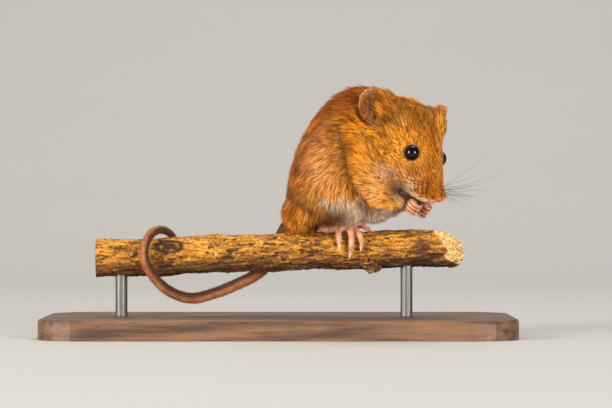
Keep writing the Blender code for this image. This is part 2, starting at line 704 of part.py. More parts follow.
def hind_foot(name, side, wood):
    """The long foot on top of the branch and five toes that close over it, each ending in a claw."""
    pieces = [tube(name, along(on_branch(FOOT, side), 9), 10)]
    pieces += [tube("toe", along(on_branch(toe, side), 7), 8) for toe in TOES]
    return largest(cut_by(fuse(pieces), wood))


def forepaw(name, side):
    """A palm and four fingers that curl round towards the other paw, in front of the mouth."""
    pieces = [ellipsoid(name, from_head(PALM, side), PALM_RADII, HEAD_AXES, around=16, rings=10)]
    for level in FINGER_LEVELS:
        f, left, up = PALM[0], PALM[1], PALM[2] + level
        path = (
            (f + 0.2, left + 0.55, up, FINGER_RADIUS),
            (f + 1.15, left + 0.45, up + 0.05, FINGER_RADIUS),
            (f + 1.65, left - 0.45, up + 0.05, FINGER_RADIUS * 0.92),
            (f + 1.35, left - 1.15, up, FINGER_RADIUS * 0.8),
            (f + 0.85, left - 1.45, up, FINGER_RADIUS * 0.4),
        )
        rows = along([(*from_head(row[:3], side), row[3]) for row in path], 7)
        pieces.append(tube("finger", rows, 6))
    return largest(fuse(pieces))


def tail():
    """Lengths of one tapering tube, a gap apart."""
    rows = along(TAIL, TAIL_POINTS)
    step = (TAIL_POINTS - 1) // TAIL_LENGTHS
    pieces = []
    for i in range(TAIL_LENGTHS):
        piece = rows[i * step : (i + 1) * step + 1].copy()
        if i:
            piece[0, :3] += unit(piece[1, :3] - piece[0, :3]) * GAP
        pieces.append(tube(f"tail_{i + 1}", piece, TAIL_SIDES))
    return pieces


# Colours and the finished model


def material(name, colour, roughness, metallic=0.0):
    made = bpy.data.materials.new(name)
    made.use_nodes = True
    shader = made.node_tree.nodes["Principled BSDF"]
    shader.inputs["Base Color"].default_value = (*colour, 1.0)
    shader.inputs["Roughness"].default_value = roughness
    shader.inputs["Metallic"].default_value = metallic
    return made


def put_in_scene(obj, name, finish, collection):
    """Names a finished solid, brings it to metres and gives it its material."""
    obj.name = obj.data.name = name
    obj.data.transform(Matrix.Scale(METRES_PER_MM, 4))
    obj.data.materials.clear()
    obj.data.materials.append(finish)
    for holder in list(obj.users_collection):
        holder.objects.unlink(obj)
    collection.objects.link(obj)
    obj.data.shade_smooth()
    obj.data.set_sharp_from_angle(angle=math.radians(35))


def main():
    for obj in list(bpy.data.objects):
        bpy.data.objects.remove(obj)
    fur = material("fur", (0.55, 0.27, 0.07), 0.8)
    skin = material("bare_skin", (0.72, 0.42, 0.32), 0.55)
    tail_skin = material("tail_skin", (0.42, 0.22, 0.13), 0.6)
    eye_black = material("eye_black", (0.01, 0.008, 0.008), 0.06)
    bark = material("bark", (0.45, 0.28, 0.11), 0.85)
    plate = material("stand_wood", (0.12, 0.07, 0.045), 0.45)
    steel = material("stand_steel", (0.62, 0.62, 0.60), 0.3, 1.0)

    wood = branch()
    skull = head()
    feet = {word: hind_foot(f"hindfoot_{word}", side, wood) for side, word in ((-1, "right"), (1, "left"))}
    paws = {}
    for side, word in ((-1, "right"), (1, "left")):
        paws[word] = cut_by(forepaw(f"forepaw_{word}", side), skull)
    chin = jaw(skull)
    nodes = [("perch", wood, bark), ("head", skull, fur), ("nose", nose(skull), skin)]
    for word, paw in paws.items():
        nodes.append((f"forepaw_{word}", largest(cut_by(paw, chin)), skin))
    nodes.append(("jaw", chin, fur))
    nodes += [(f"hindfoot_{word}", foot, skin) for word, foot in feet.items()]
    for name, solid in body([solid for name, solid, _ in nodes if name != "nose"]).items():
        nodes.append((name, solid, fur))
    torso = next(solid for name, solid, _ in nodes if name == "torso")
    for side, word in ((-1, "right"), (1, "left")):
        cup = largest(cut_by(ear_form(f"ear_{word}", side), skull))
        nodes.append((f"ear_{word}", cup, skin))
        nodes.append((f"eye_{word}", eye(f"eye_{word}", side), eye_black))
    for i, length in enumerate(tail()):
        nodes.append((f"tail_{i + 1}", largest(cut_by(length, torso)) if i == 0 else length, tail_skin))
    base, *rods = stand()
    nodes.append(("stand_base", base, plate))
    nodes += [(rod.name, rod, steel) for rod in rods]

    collection = bpy.data.collections.new("harvest_mouse")
    bpy.context.scene.collection.children.link(collection)
    for name, solid, finish in nodes:
        put_in_scene(solid, name, finish, collection)


main()
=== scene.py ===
"""The looks of a Eurasian harvest mouse at life size: one skin with its coat of tufts, ears, eyes, hands
and feet, the ringed tail, the branch that it grips and the stand below, with a camera, a floor and light.

Lengths are in millimetres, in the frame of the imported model, and `make_piece` brings them to metres. +X is
where the head is, -Y faces the camera and +Z is up. A form is a tuple of points, quads and triangles.
"""

import math

import bmesh
import bpy
import numpy as np
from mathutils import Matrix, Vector


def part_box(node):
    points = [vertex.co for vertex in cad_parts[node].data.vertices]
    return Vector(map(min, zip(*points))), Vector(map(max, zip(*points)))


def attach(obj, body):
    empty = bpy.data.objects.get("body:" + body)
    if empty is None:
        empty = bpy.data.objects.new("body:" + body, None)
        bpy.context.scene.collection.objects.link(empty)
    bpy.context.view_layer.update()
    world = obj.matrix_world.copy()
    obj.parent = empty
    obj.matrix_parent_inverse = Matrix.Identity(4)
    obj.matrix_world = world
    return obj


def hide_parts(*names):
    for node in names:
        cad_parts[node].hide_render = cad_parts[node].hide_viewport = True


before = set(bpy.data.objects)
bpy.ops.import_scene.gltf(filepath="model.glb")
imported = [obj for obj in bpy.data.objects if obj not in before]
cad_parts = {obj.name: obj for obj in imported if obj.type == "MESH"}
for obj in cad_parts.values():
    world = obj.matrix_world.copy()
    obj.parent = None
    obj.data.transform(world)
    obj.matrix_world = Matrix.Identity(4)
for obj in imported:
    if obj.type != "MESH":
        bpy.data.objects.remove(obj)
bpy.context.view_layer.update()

MM = 0.001
SIDES = {"right": -1, "left": 1}
SEED = 4

# The camera stands level with the middle of the animal, far off, so that the view is almost flat
CAMERA_PLACE = (5.4, -550.0, 26.4)
VIEW_WIDTH = 122.4
SENSOR = 36.0

# Flesh that one skin replaces, and how that skin is made
FLESH = ("head", "jaw", "neck", "torso", "arm_right", "arm_left", "thigh_right", "thigh_left")
SKIN_SWELL, SKIN_VOXEL, SKIN_ROUNDS = 0.2, 0.27, 6
SKIN_ALONG = 0.34  # the skin has the colour that a tuft has this far along
COAT_DEPTH, BACK_OF_HEAD_DEPTH, FACE_DEPTH, WRIST_DEPTH = 1.35, 0.95, 0.22, 0.22

# Head, in its own axes: forwards, to the mouse's left, and up, from the middle between the eyes
EYE_RADIUS = 1.6
EYE_OUTWARDS = (0.40, 0.87, 0.28)
EYE_CORNER = (0.62, 0.10, -0.75)  # the way from the middle of the eye to its front corner
LID_OPENING, LID_CORNER = 75.0, 2.0  # degrees from the eye's middle to its lids, and more to its corners
LID_THICKNESS, LID_LIFT = 0.11, 0.03
NOSE_DROP = math.atan2(4.55, 8.5)  # how far the nose lies below the head's forward axis
NOSE_TIP = (9.0, 0.0, -4.6)
NOSE_PAD, NOSE_PAD_RADII = (8.35, 0.0, -4.5), (0.60, 0.82, 0.62)
WRIST = (5.9, 2.7, -8.0)
PALM = (6.3, 1.75, -8.0)
FINGER_LEVELS = (1.15, 0.4, -0.35, -1.05)
#   forwards and left from the palm's middle, and up, at the last knuckle and at the tip of a finger
FINGER_END = ((1.35, -1.15, 0.0), (0.85, -1.45, 0.0))

# Ears
EAR_ROOTS = {-1: (-7.5, 5.8, -0.4), 1: (-7.6, 6.0, -0.2)}
EAR_FACES = {-1: (1.0, 0.6, 0.0), 1: (1.0, -0.15, 0.0)}
EAR_AXIS = (-0.62, 0.64, 0.43)
EAR_LENGTHS, EAR_WIDTH, EAR_CUP, EAR_THICKNESS = {-1: 8.8, 1: 7.4}, 6.2, 1.9, 0.5
EAR_MIDDLE, EAR_NARROWING = 4.05, 0.42
EAR_FRINGE_START, EAR_FRINGE_END = {-1: 40, 1: 0}, 175  # degrees round its front rim from its tip
#   hairs to a square millimetre on its front, on its back and more on its rim, and counts
EAR_DENSITY, EAR_FRINGE_TUFTS, EAR_TUFTS = (26.0, 46.0, 30.0), 1300, 330

# Branch
BRANCH_RADIUS = 3.8
BRANCH_AXIS = (
    (-36.5, 0.0, 15.6),
    (-20.0, 0.0, 15.9),
    (-11.0, 0.0, 16.5),
    (1.4, 0.0, 16.9),
    (13.2, 0.0, 17.1),
    (33.0, 0.0, 17.5),
)
#   how far past the axis's end, share of the radius, how uneven
BREAK_RINGS = ((-1.3, 0.98, 0.3), (0.3, 0.9, 0.5), (1.4, 0.7, 0.6), (2.6, 0.45, 0.5), (3.3, 0.2, 0.3))
BREAK_SLANT = 1.6
BRANCH_ROWS, BRANCH_SIDES, BREAK_ROWS = 420, 120, 25
STUB = ((17.8, -0.9, 15.8, 2.5), (18.2, -1.5, 14.9, 2.3), (18.7, -1.9, 14.2, 1.6))
SCAR, SCAR_RADII = (-21.8, -2.6, 17.6), (2.9, 1.05, 1.6)

# Toes: along the branch, angle down its side from its top and height over the bark, first at the last
# knuckle and then at the tip
TOE_ENDS = (
    ((11.9, 62, 0.65), (12.0, 80, 0.48)),
    ((14.2, 86, 0.65), (14.1, 101, 0.5)),
    ((16.4, 72, 0.65), (16.3, 86, 0.5)),
    ((17.3, 26, 0.9), (18.5, 36, 0.5)),
    ((15.8, 9, 0.75), (16.9, 9, 0.48)),
)

# Tail, from its root on the rump round the branch to its tip
#   x, y, z, radius
TAIL = (
    (2.6, 2.9, 22.9, 1.5),
    (1.2, 4.7, 21.2, 1.35),
    (-0.3, 5.5, 18.0, 1.22),
    (-1.7, 5.3, 15.0, 1.18),
    (-4.2, 4.2, 12.5, 1.16),
    (-8.4, 2.8, 10.3, 1.13),
    (-13.0, 1.0, 8.5, 1.09),
    (-17.8, -1.2, 7.6, 1.05),
    (-22.0, -3.3, 9.2, 1.0),
    (-25.0, -4.9, 12.3, 0.95),
    (-26.6, -5.6, 15.7, 0.9),
    (-26.3, -4.6, 18.9, 0.85),
    (-24.9, -2.2, 20.9, 0.8),
    (-22.9, 0.7, 21.1, 0.74),
    (-21.3, 3.3, 19.6, 0.67),
    (-20.4, 4.8, 17.0, 0.58),
    (-20.0, 4.5, 14.3, 0.42),
)
TAIL_RING, TAIL_HAIRS = 0.36, 4200  # from one ring of scales to the next, and how many hairs
# painted shade darkens the side of the tail that faces this point
TAIL_CENTRE = (-13.0, 0.0, 16.0)  # the middle of its loop, which its dark side faces

# Lie of the coat on the body, as seen from the side
#   place along and up, and the way the hairs run there
LIE = (
    (14.0, 45.5, -0.97, 0.00),
    (10.3, 44.6, -0.95, -0.25),
    (7.2, 42.2, -0.88, -0.45),
    (5.4, 39.4, -0.80, -0.60),
    (3.8, 36.2, -0.60, -0.80),
    (8.0, 34.8, -0.80, -0.60),
    (5.6, 31.6, -0.60, -0.80),
    (9.4, 28.0, -0.35, -0.94),
    (2.9, 25.2, -0.15, -1.00),
    (10.6, 26.6, 0.15, -0.98),
    (13.6, 28.0, 0.30, -0.95),
    (17.6, 25.2, 0.10, -1.00),
    (15.8, 40.0, -0.95, -0.15),
    (17.6, 36.2, -0.95, -0.25),
    (15.8, 34.2, -0.85, -0.50),
    (17.6, 31.6, -0.65, -0.75),
    (19.5, 28.0, -0.10, -1.00),
    (18.2, 38.8, -1.00, -0.05),
    (22.2, 32.8, -0.90, 0.10),
    (22.5, 26.4, 0.75, -0.60),
)


# Numbers


def unit(vectors):
    """Vectors divided by their lengths."""
    return vectors / np.maximum(np.linalg.norm(vectors, axis=-1, keepdims=True), 1e-9)


def flattened(ways, normals):
    """Unit ways with their part along unit normals taken out."""
    return unit(ways - normals * (ways * normals).sum(1)[:, None])


def step(low, high, x):
    """0 at low and 1 at high, with the curve 3t² - 2t³ between them. High may be the lower of the two."""
    t = np.clip((x - low) / (high - low), 0, 1)
    return t * t * (3 - 2 * t)


def mixed(a, b, share):
    """a + (b - a) * share."""
    return a + (b - a) * share


def hermite(x, y, at):
    """Values at `at` on a smooth curve through y over x: cubic spans, each end's slope taken from its
    neighbours."""
    x, y, at = (np.asarray(v, float) for v in (x, y, at))
    slope = np.gradient(y, x, axis=0)
    i = np.clip(np.searchsorted(x, at, side="right") - 1, 0, len(x) - 2)
    span = (x[i + 1] - x[i])[:, None]
    t = (at - x[i])[:, None] / span
    return (
        (2 * t**3 - 3 * t**2 + 1) * y[i]
        + (t**3 - 2 * t**2 + t) * span * slope[i]
        + (3 * t**2 - 2 * t**3) * y[i + 1]
        + (t**3 - t**2) * span * slope[i + 1]
    )


def along(points, count):
    """`count` rows evenly spaced on a smooth curve through rows whose first three numbers are a place."""
    points = np.asarray(points, float)
    length = np.r_[0, np.cumsum(np.linalg.norm(np.diff(points[:, :3], axis=0), axis=1))]
    return hermite(length, points, np.linspace(0, length[-1], count))


def waves(points, size, seed, count=9):
    """Smooth noise of about -1 to 1: the sum of `count` sines along seeded directions, about `size` long."""
    rng = np.random.default_rng(seed)
    ways = unit(rng.normal(size=(count, 3))) * (2 * np.pi / size) * rng.uniform(0.6, 1.5, (count, 1))
    phase = rng.uniform(0, 2 * np.pi, count)
    return np.sin(np.asarray(points) @ ways.T + phase).sum(1) * (1.5 / count**0.5 / 1.4)


def streaks(points, ways, size, seed):
    """Noise of about -1 to 1 drawn out along each point's way: waves of the point's own size, averaged over
    places up to 1.3 sizes before and after it."""
    size = size[:, None]
    total = sum(waves(points / size + ways * t, 1.0, seed, 12) for t in np.linspace(-1.3, 1.3, 7))
    return np.clip(total / (2 * total.std()), -1.5, 1.5)


def near_line(points, line, width):
    """1 on a line of straight pieces, falling as exp(-(distance / width)²)."""
    line = np.asarray(line, float)
    nearest = np.full(len(points), np.inf)
    for start, end in zip(line[:-1], line[1:]):
        way = end - start
        share = np.clip((points - start) @ way / (way @ way), 0, 1)
        nearest = np.minimum(nearest, np.linalg.norm(points - start - share[:, None] * way, axis=1))
    return np.exp(-((nearest / width) ** 2))


# The head's axes, from where the model's eyes and nose are


def middle_of(node):
    """The middle of a node's box, in millimetres."""
    low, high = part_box(node)
    return np.array((low + high) / 2) / MM


EYES = {word: middle_of(f"eye_{word}") for word in SIDES}
EYES_MIDDLE = (EYES["right"] + EYES["left"]) / 2


def head_axes():
    """The head's forward, left and up directions as the rows of a matrix: left runs from eye to eye, and
    forward is the way to the nose, turned up about left by the nose's drop."""
    left = unit(EYES["left"] - EYES["right"])
    down = middle_of("nose") - EYES_MIDDLE
    down = unit(down - left * (down @ left))
    across = np.cross(left, down)
    forwards = down * math.cos(NOSE_DROP) - across * math.sin(NOSE_DROP)
    return np.stack([forwards, left, np.cross(forwards, left)])


HEAD_AXES = head_axes()


def from_head(points, side=1):
    """Places given in the head's axes, for the left side, or mirrored to the right one with side -1."""
    return EYES_MIDDLE + (np.asarray(points, float) * (1, side, 1)) @ HEAD_AXES


def to_head(points):
    """Places brought into the head's axes."""
    return (points - EYES_MIDDLE) @ HEAD_AXES.T


def folded_head(points):
    """Places in the head's axes, its right half folded over onto its left one."""
    f, l, u = to_head(points).T
    return np.column_stack([f, np.abs(l), u])


def mirrored(points):
    """Places mirrored in the head's middle plane."""
    return from_head(to_head(points), -1)


def way_from_head(vector, side=1):
    """The unit way of a vector given in the head's axes, mirrored for side -1."""
    return unit((np.asarray(vector, float) * (1, side, 1)) @ HEAD_AXES)


def on_branch(rows, side):
    """Places round the branch, from rows of length along it, angle from its top and height over the bark:
    off its axis by its radius and the height, times the sine to the side and times the cosine upwards."""
    x, angle, height = np.asarray(rows, float).T
    axis = np.array(BRANCH_AXIS)
    middle = hermite(axis[:, 0], axis, x)
    reach = BRANCH_RADIUS + 0.3 + height
    angle = np.radians(angle)
    return np.stack([x, side * reach * np.sin(angle), middle[:, 2] + reach * np.cos(angle)], 1)


# Forms

CARRY_START = (0.0, 0.3, 1.0)


def as_tris(quads):
    """Quads cut into triangles."""
    return np.concatenate([quads[:, :3], quads[:, [0, 2, 3]]])


def outward(form):
    """The form with its faces turned out: they are turned round if its volume comes out negative."""
    points, quads, tris = form
    corners = points[np.concatenate([tris, as_tris(quads)])]
    volume = np.einsum("ij,ij->i", corners[:, 0], np.cross(corners[:, 1], corners[:, 2])).sum()
    return (points, quads[:, ::-1], tris[:, ::-1]) if volume < 0 else form


def ring_quads(count, sides, loops=False):
    """Quads between `count` neighbouring rings, and from the last to the first one where the row loops."""
    i, j = np.arange(count if loops else count - 1)[:, None], np.arange(sides)
    here, there, after = i * sides, (i + 1) % count * sides, (j + 1) % sides
    return np.stack([here + j, here + after, there + after, there + j], -1).reshape(-1, 4)


def closed_rings(rings):
    """A closed form from rings of points: quads between neighbouring rings and a fan over each end."""
    count, sides, _ = rings.shape
    j = np.arange(sides)
    after = (j + 1) % sides
    points = np.concatenate([rings.reshape(-1, 3), rings[[0, -1]].mean(1)])
    first, last = count * sides, (count - 1) * sides
    fans = [np.stack([np.full(sides, first), after, j], 1)]
    fans.append(np.stack([np.full(sides, first + 1), last + j, last + after], 1))
    return outward((points, ring_quads(count, sides), np.concatenate(fans)))


def of_quads(points, quads):
    """A form without triangles."""
    return points, quads, np.empty((0, 3), int)


def looped_rings(rings):
    """A closed form from rings of points in a row that meets its own start."""
    return outward(of_quads(rings.reshape(-1, 3), ring_quads(*rings.shape[:2], loops=True)))


def together(forms):
    """Several forms as one."""
    points, quads, tris = zip(*forms)
    starts = np.r_[0, np.cumsum([len(p) for p in points])[:-1]]
    return (
        np.concatenate(points),
        np.concatenate([q + s for q, s in zip(quads, starts)]),
        np.concatenate([t + s for t, s in zip(tris, starts)]),
    )


def carried_axes(path):
    """Ways along a path and across and up directions at each place of it. The first across is CARRY_START,
    and each next one is the last, both with their part along the path taken out."""
    ways = unit(np.gradient(path, axis=0))
    across = np.empty_like(ways)
    now = np.array(CARRY_START)
    for i, way in enumerate(ways):
        now = unit(now - way * (now @ way))
        across[i] = now
    return ways, across, np.cross(ways, across)


def rounded(rows):
    """Rows of place and radius with a quarter circle of smaller ones added past each end."""
    turn = np.radians((25, 50, 72, 88))
    ends = []
    for end, inner in ((rows[0], rows[1]), (rows[-1], rows[-2])):
        way = unit(end[:3] - inner[:3])
        places = end[:3] + way * (np.sin(turn) * end[3])[:, None]
        ends.append(np.column_stack([places, np.cos(turn) * end[3]]))
    return np.concatenate([ends[0][::-1], rows, ends[1]])


def tube(rows, sides):
    """A closed tube: across each row's place a ring of its radius."""
    _, across, up = carried_axes(rows[:, :3])
    angle = np.linspace(0, 2 * np.pi, sides, endpoint=False)[:, None]
    ring = across[:, None] * np.cos(angle) + up[:, None] * np.sin(angle)
    return closed_rings(rows[:, None, :3] + ring * rows[:, None, 3:4])


def ball(middle, radii, axes, around=48, rings=32):
    """A round body with its own three axes, the rows of a matrix: sin(turn) cos(angle), sin(turn) sin(angle)
    and cos(turn), times its radii."""
    turn = np.linspace(0, np.pi, rings + 2)[1:-1, None]
    angle = np.linspace(0, 2 * np.pi, around, endpoint=False)
    level = np.cos(turn) + 0 * angle
    places = np.stack([np.sin(turn) * np.cos(angle), np.sin(turn) * np.sin(angle), level], -1)
    return closed_rings(middle + (places * radii) @ axes)


# Surfaces taken from the model's nodes


def merged_copy(node):
    """Points and triangles of a node, in millimetres, with its doubled vertices merged."""
    work = bmesh.new()
    work.from_mesh(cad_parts[node].data)
    bmesh.ops.remove_doubles(work, verts=work.verts, dist=2e-6)
    mesh = bpy.data.meshes.new("copy")
    work.to_mesh(mesh)
    work.free()
    points, faces = mesh_arrays(mesh, 3)
    bpy.data.meshes.remove(mesh)
    return points / MM, faces


def mesh_arrays(mesh, corners):
    """A mesh's points, and its faces of `corners` corners."""
    points = np.empty(len(mesh.vertices) * 3)
    mesh.vertices.foreach_get("co", points)
    faces = np.empty(len(mesh.polygons) * corners, np.int64)
    mesh.polygons.foreach_get("vertices", faces)
    return points.reshape(-1, 3), faces.reshape(-1, corners)


def corner_sums(points_count, faces, values):
    """For each point, the sum of a vector that each of its faces gives."""
    index = faces.ravel()
    spread = np.repeat(values, faces.shape[1], axis=0)
    return np.stack([np.bincount(index, spread[:, k], points_count) for k in range(3)], 1)


def normals_of(points, faces):
    """Each point's normal: the mean of its faces' normals, weighted by their area."""
    a, b, c = (points[faces[:, k]] for k in (0, 1, 2))
    cross = np.cross(b - a, c - a)
    if faces.shape[1] == 4:
        cross = np.cross(c - a, points[faces[:, 3]] - b)
    return unit(corner_sums(len(points), faces, cross))


def relaxed(points, faces, rounds, strength=0.5):
    """Each point drawn towards the mean of its neighbours. Every edge is in two faces, once each way."""
    start = faces.ravel()
    end = np.roll(faces, -1, axis=1).ravel()
    count = np.bincount(start, minlength=len(points))[:, None]
    strength = np.broadcast_to(strength, len(points))[:, None]
    for _ in range(rounds):
        mean = np.stack([np.bincount(start, points[end, k], len(points)) for k in range(3)], 1) / count
        points = mixed(points, mean, strength)
    return points


def main_surface(points, faces):
    """The connected surface with the most points: labels spread along faces, the lowest one wins."""
    label = np.arange(len(points))
    while True:
        lowest = label.copy()
        np.minimum.at(lowest, faces.ravel(), np.repeat(label[faces].min(1), faces.shape[1]))
        lowest = lowest[lowest]
        if (lowest == label).all():
            break
        label = lowest
    kept = label == np.bincount(label).argmax()
    index = np.cumsum(kept) - 1
    return points[kept], index[faces[kept[faces[:, 0]]]]


def surface_round(nodes, swell, voxel, rounds):
    """One surface of quads round some nodes: each is swollen to close its gaps, and a voxel remesh joins
    them."""
    points, tris = [], []
    for node in nodes:
        place, faces = merged_copy(node)
        tris.append(faces + sum(len(p) for p in points))
        points.append(place + normals_of(place, faces) * swell)
    mesh = bpy.data.meshes.new("flesh")
    mesh.from_pydata(np.concatenate(points), [], np.concatenate(tris))
    obj = bpy.data.objects.new("flesh", mesh)
    bpy.context.scene.collection.objects.link(obj)
    modifier = obj.modifiers.new("remesh", "REMESH")
    modifier.mode, modifier.voxel_size = "VOXEL", voxel
    evaluated = obj.evaluated_get(bpy.context.evaluated_depsgraph_get())
    points, faces = main_surface(*mesh_arrays(evaluated.data, 4))
    bpy.data.objects.remove(obj)
    bpy.data.meshes.remove(mesh)
    return relaxed(points, faces, rounds), faces


# Pieces


def make_piece(name, form, finish, slot, replaces=(), flat=False, **values):
    """A mesh object from a form, riding on the body, with its material and named values; its slot is not
    used. A value is a number for each point, or one for all."""
    points, quads, tris = form
    mesh = bpy.data.meshes.new(name)
    corners = np.concatenate([quads.ravel(), tris.ravel()]).astype(np.int32)
    sizes = np.r_[np.full(len(quads), 4), np.full(len(tris), 3)]
    mesh.vertices.add(len(points))
    mesh.vertices.foreach_set("co", (points * MM).astype(np.float32).ravel())
    mesh.loops.add(len(corners))
    mesh.loops.foreach_set("vertex_index", corners)
    mesh.polygons.add(len(sizes))
    mesh.polygons.foreach_set("loop_start", np.r_[0, np.cumsum(sizes)[:-1]].astype(np.int32))
    if flat:
        mesh.polygons.foreach_set("use_smooth", np.zeros(len(sizes), bool))
    mesh.update(calc_edges=True)
    for key, value in values.items():
        data = mesh.attributes.new(key, "FLOAT", "POINT")
        data.data.foreach_set("value", np.broadcast_to(value, len(points)).astype(np.float32))
    mesh.materials.append(finish)
    obj = bpy.data.objects.new(name, mesh)
    bpy.context.scene.collection.objects.link(obj)
    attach(obj, "root")
    if replaces:
        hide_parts(*replaces)
    return obj


def set_patches(obj, places):
    """The piece's OFBake map, from a place for each point."""
    corners = np.empty(len(obj.data.loops), np.int64)
    obj.data.loops.foreach_get("vertex_index", corners)
    layer = obj.data.uv_layers.new(name="OFBake")
    layer.uv.foreach_set("vector", places[corners].astype(np.float32).ravel())


# Materials


def add(tree, kind, settings=(), **inputs):
    """A new node with its settings and inputs. A socket given as an input is linked, the rest are values."""
    made = tree.nodes.new(kind)
    for key, value in dict(settings).items():
        setattr(made, key, value)
    for key, value in inputs.items():
        fill(tree, made.inputs[key.replace("_", " ")], value)
    return made


def fill(tree, socket, value):
    """Links a socket to another, or sets its value."""
    if isinstance(value, bpy.types.NodeSocket):
        tree.links.new(value, socket)
    else:
        socket.default_value = value


def calc(tree, operation, a, b):
    """A sum, a difference or a product."""
    made = add(tree, "ShaderNodeMath", {"operation": operation})
    fill(tree, made.inputs[0], a)
    fill(tree, made.inputs[1], b)
    return made.outputs[0]


def blend(tree, share, a, b, kind="MIX"):
    """Two colours mixed by a share."""
    made = add(tree, "ShaderNodeMix", {"data_type": "RGBA", "blend_type": kind})
    for index, value in ((0, share), (6, a), (7, b)):
        fill(tree, made.inputs[index], (*value, 1.0) if isinstance(value, tuple) else value)
    return made.outputs[2]


def between(tree, value, low, high, to_low=0.0, to_high=1.0):
    """A value brought from one range to another, smoothly and held at its ends."""
    made = add(tree, "ShaderNodeMapRange", {"interpolation_type": "SMOOTHSTEP"})
    for index, number in enumerate((value, low, high, to_low, to_high)):
        fill(tree, made.inputs[index], number)
    return made.outputs[0]


def grey(tree, value):
    """A grey of a given value."""
    return add(tree, "ShaderNodeCombineColor", Red=value, Green=value, Blue=value).outputs[0]


def noise(tree, place, scale, detail=3.0, rough=0.55):
    """Noise in space, of `scale` waves to a unit of the place."""
    made = add(tree, "ShaderNodeTexNoise", Vector=place, Scale=scale, Detail=detail, Roughness=rough)
    return made.outputs["Fac"]


def value_of(tree, name):
    """The number that the piece's points hold under a name."""
    return add(tree, "ShaderNodeAttribute", {"attribute_name": name}).outputs["Fac"]


def object_place(tree, stretch=(1.0, 1.0, 1.0)):
    """Object coordinates in millimetres, stretched by a factor along each axis."""
    place = add(tree, "ShaderNodeTexCoord").outputs["Object"]
    scale = tuple(s / MM for s in stretch)
    return add(tree, "ShaderNodeMapping", Vector=place, Scale=scale).outputs[0]


def new_group(name, inputs, outputs):
    """An empty node group with float or colour sockets, and its input and output nodes."""
    tree = bpy.data.node_groups.new(name, "ShaderNodeTree")
    kinds = {float: "NodeSocketFloat", tuple: "NodeSocketColor"}
    for key, value in inputs.items():
        socket = tree.interface.new_socket(key, in_out="INPUT", socket_type=kinds[type(value)])
        socket.default_value = (*value, 1.0) if isinstance(value, tuple) else value
    for key, kind in outputs.items():
        tree.interface.new_socket(key, in_out="OUTPUT", socket_type=kinds[kind])
    return tree, tree.nodes.new("NodeGroupInput").outputs, tree.nodes.new("NodeGroupOutput")


def use_group(tree, group, **inputs):
    """A group placed in a material with its own values. Gives its outputs."""
    made = tree.nodes.new("ShaderNodeGroup")
    made.node_tree = group
    for key, value in inputs.items():
        value = (*value, 1.0) if isinstance(value, tuple) else value
        fill(tree, made.inputs[key.replace("_", " ")], value)
    return made.outputs


def new_material(name, **constants):
    """A material, its node tree and its Principled shader, with the shader's constant inputs set."""
    made = bpy.data.materials.new(name)
    made.use_nodes = True
    shader = made.node_tree.nodes["Principled BSDF"]
    for key, value in constants.items():
        shader.inputs[key.replace("_", " ")].default_value = value
    return made, made.node_tree, shader


def set_colour(tree, shader, colour):
    """Feeds a colour to the shader."""
    tree.links.new(colour, shader.inputs["Base Color"])


def set_roughness(tree, shader, scale, middle, spread):
    """A roughness that varies a little about its middle value."""
    rough = use_group(tree, UNEVEN, Scale=scale, Middle=middle, Range=spread)["Value"]
    tree.links.new(rough, shader.inputs["Roughness"])


def set_bump(tree, shader, height, distance, strength=1.0):
    """Feeds a height to the shader's normal. The distance is in millimetres."""
    made = add(tree, "ShaderNodeBump", Height=height, Distance=distance * MM, Strength=strength)
    tree.links.new(made.outputs[0], shader.inputs["Normal"])


def coat_group():
    """Coat colour. Gold turns to rust and to cream by their masks, and roots keep the brown of the underfur.
    The tone darkens or lightens a tuft, and the darkest ones end brown. The Shade mask turns it brown too:
    painted shade, and some darker fur."""
    tree, given, out = new_group(
        "coat colour",
        {"Rust": 0.0, "Cream": 0.0, "Shade": 0.0, "Tone": 0.5, "Along": 0.5},
        {"Colour": tuple},
    )
    gold, rust, cream = (0.82, 0.33, 0.020), (0.42, 0.105, 0.006), (0.88, 0.68, 0.49)
    under, brown, pale_under = (0.15, 0.05, 0.012), (0.085, 0.024, 0.006), (0.56, 0.32, 0.19)
    hair = blend(tree, given["Rust"], gold, rust)
    hair = blend(tree, given["Cream"], hair, cream)
    root = blend(tree, given["Cream"], under, pale_under)
    colour = blend(tree, between(tree, given["Along"], 0.05, 0.55), root, hair)
    lift = between(tree, given["Tone"], 0.1, 1.0, 0.45, 1.4)
    colour = blend(tree, 1.0, colour, grey(tree, lift), "MULTIPLY")
    at_tip = between(tree, given["Along"], 0.3, 0.8)
    dark = calc(tree, "MULTIPLY", between(tree, given["Tone"], 0.28, 0.08), at_tip)
    dark = calc(tree, "MULTIPLY", dark, calc(tree, "SUBTRACT", 1.0, given["Cream"]))
    colour = blend(tree, calc(tree, "MULTIPLY", dark, 0.8), colour, brown)
    colour = blend(tree, calc(tree, "MULTIPLY", given["Shade"], 0.92), colour, brown)
    tree.links.new(colour, out.inputs["Colour"])
    return tree


def uneven_group():
    """Fine unevenness of a bare skin or a varnish: noise about a middle value."""
    given = {"Scale": 1.0, "Middle": 0.5, "Range": 0.2}
    tree, given, out = new_group("fine unevenness", given, {"Value": float})
    spread = calc(tree, "SUBTRACT", noise(tree, object_place(tree), given["Scale"]), 0.5)
    value = calc(tree, "ADD", calc(tree, "MULTIPLY", spread, given["Range"]), given["Middle"])
    tree.links.new(value, out.inputs["Value"])
    return tree


COAT = coat_group()
UNEVEN = uneven_group()


def fur_material():
    """The coat's tufts, from their own masks."""
    made, tree, shader = new_material("fur", Roughness=0.6, Specular_IOR_Level=0.12)
    masks = {key: value_of(tree, key.lower()) for key in ("Rust", "Cream", "Shade", "Tone", "Along")}
    set_colour(tree, shader, use_group(tree, COAT, **masks)["Colour"])
    return made


FUR = fur_material()


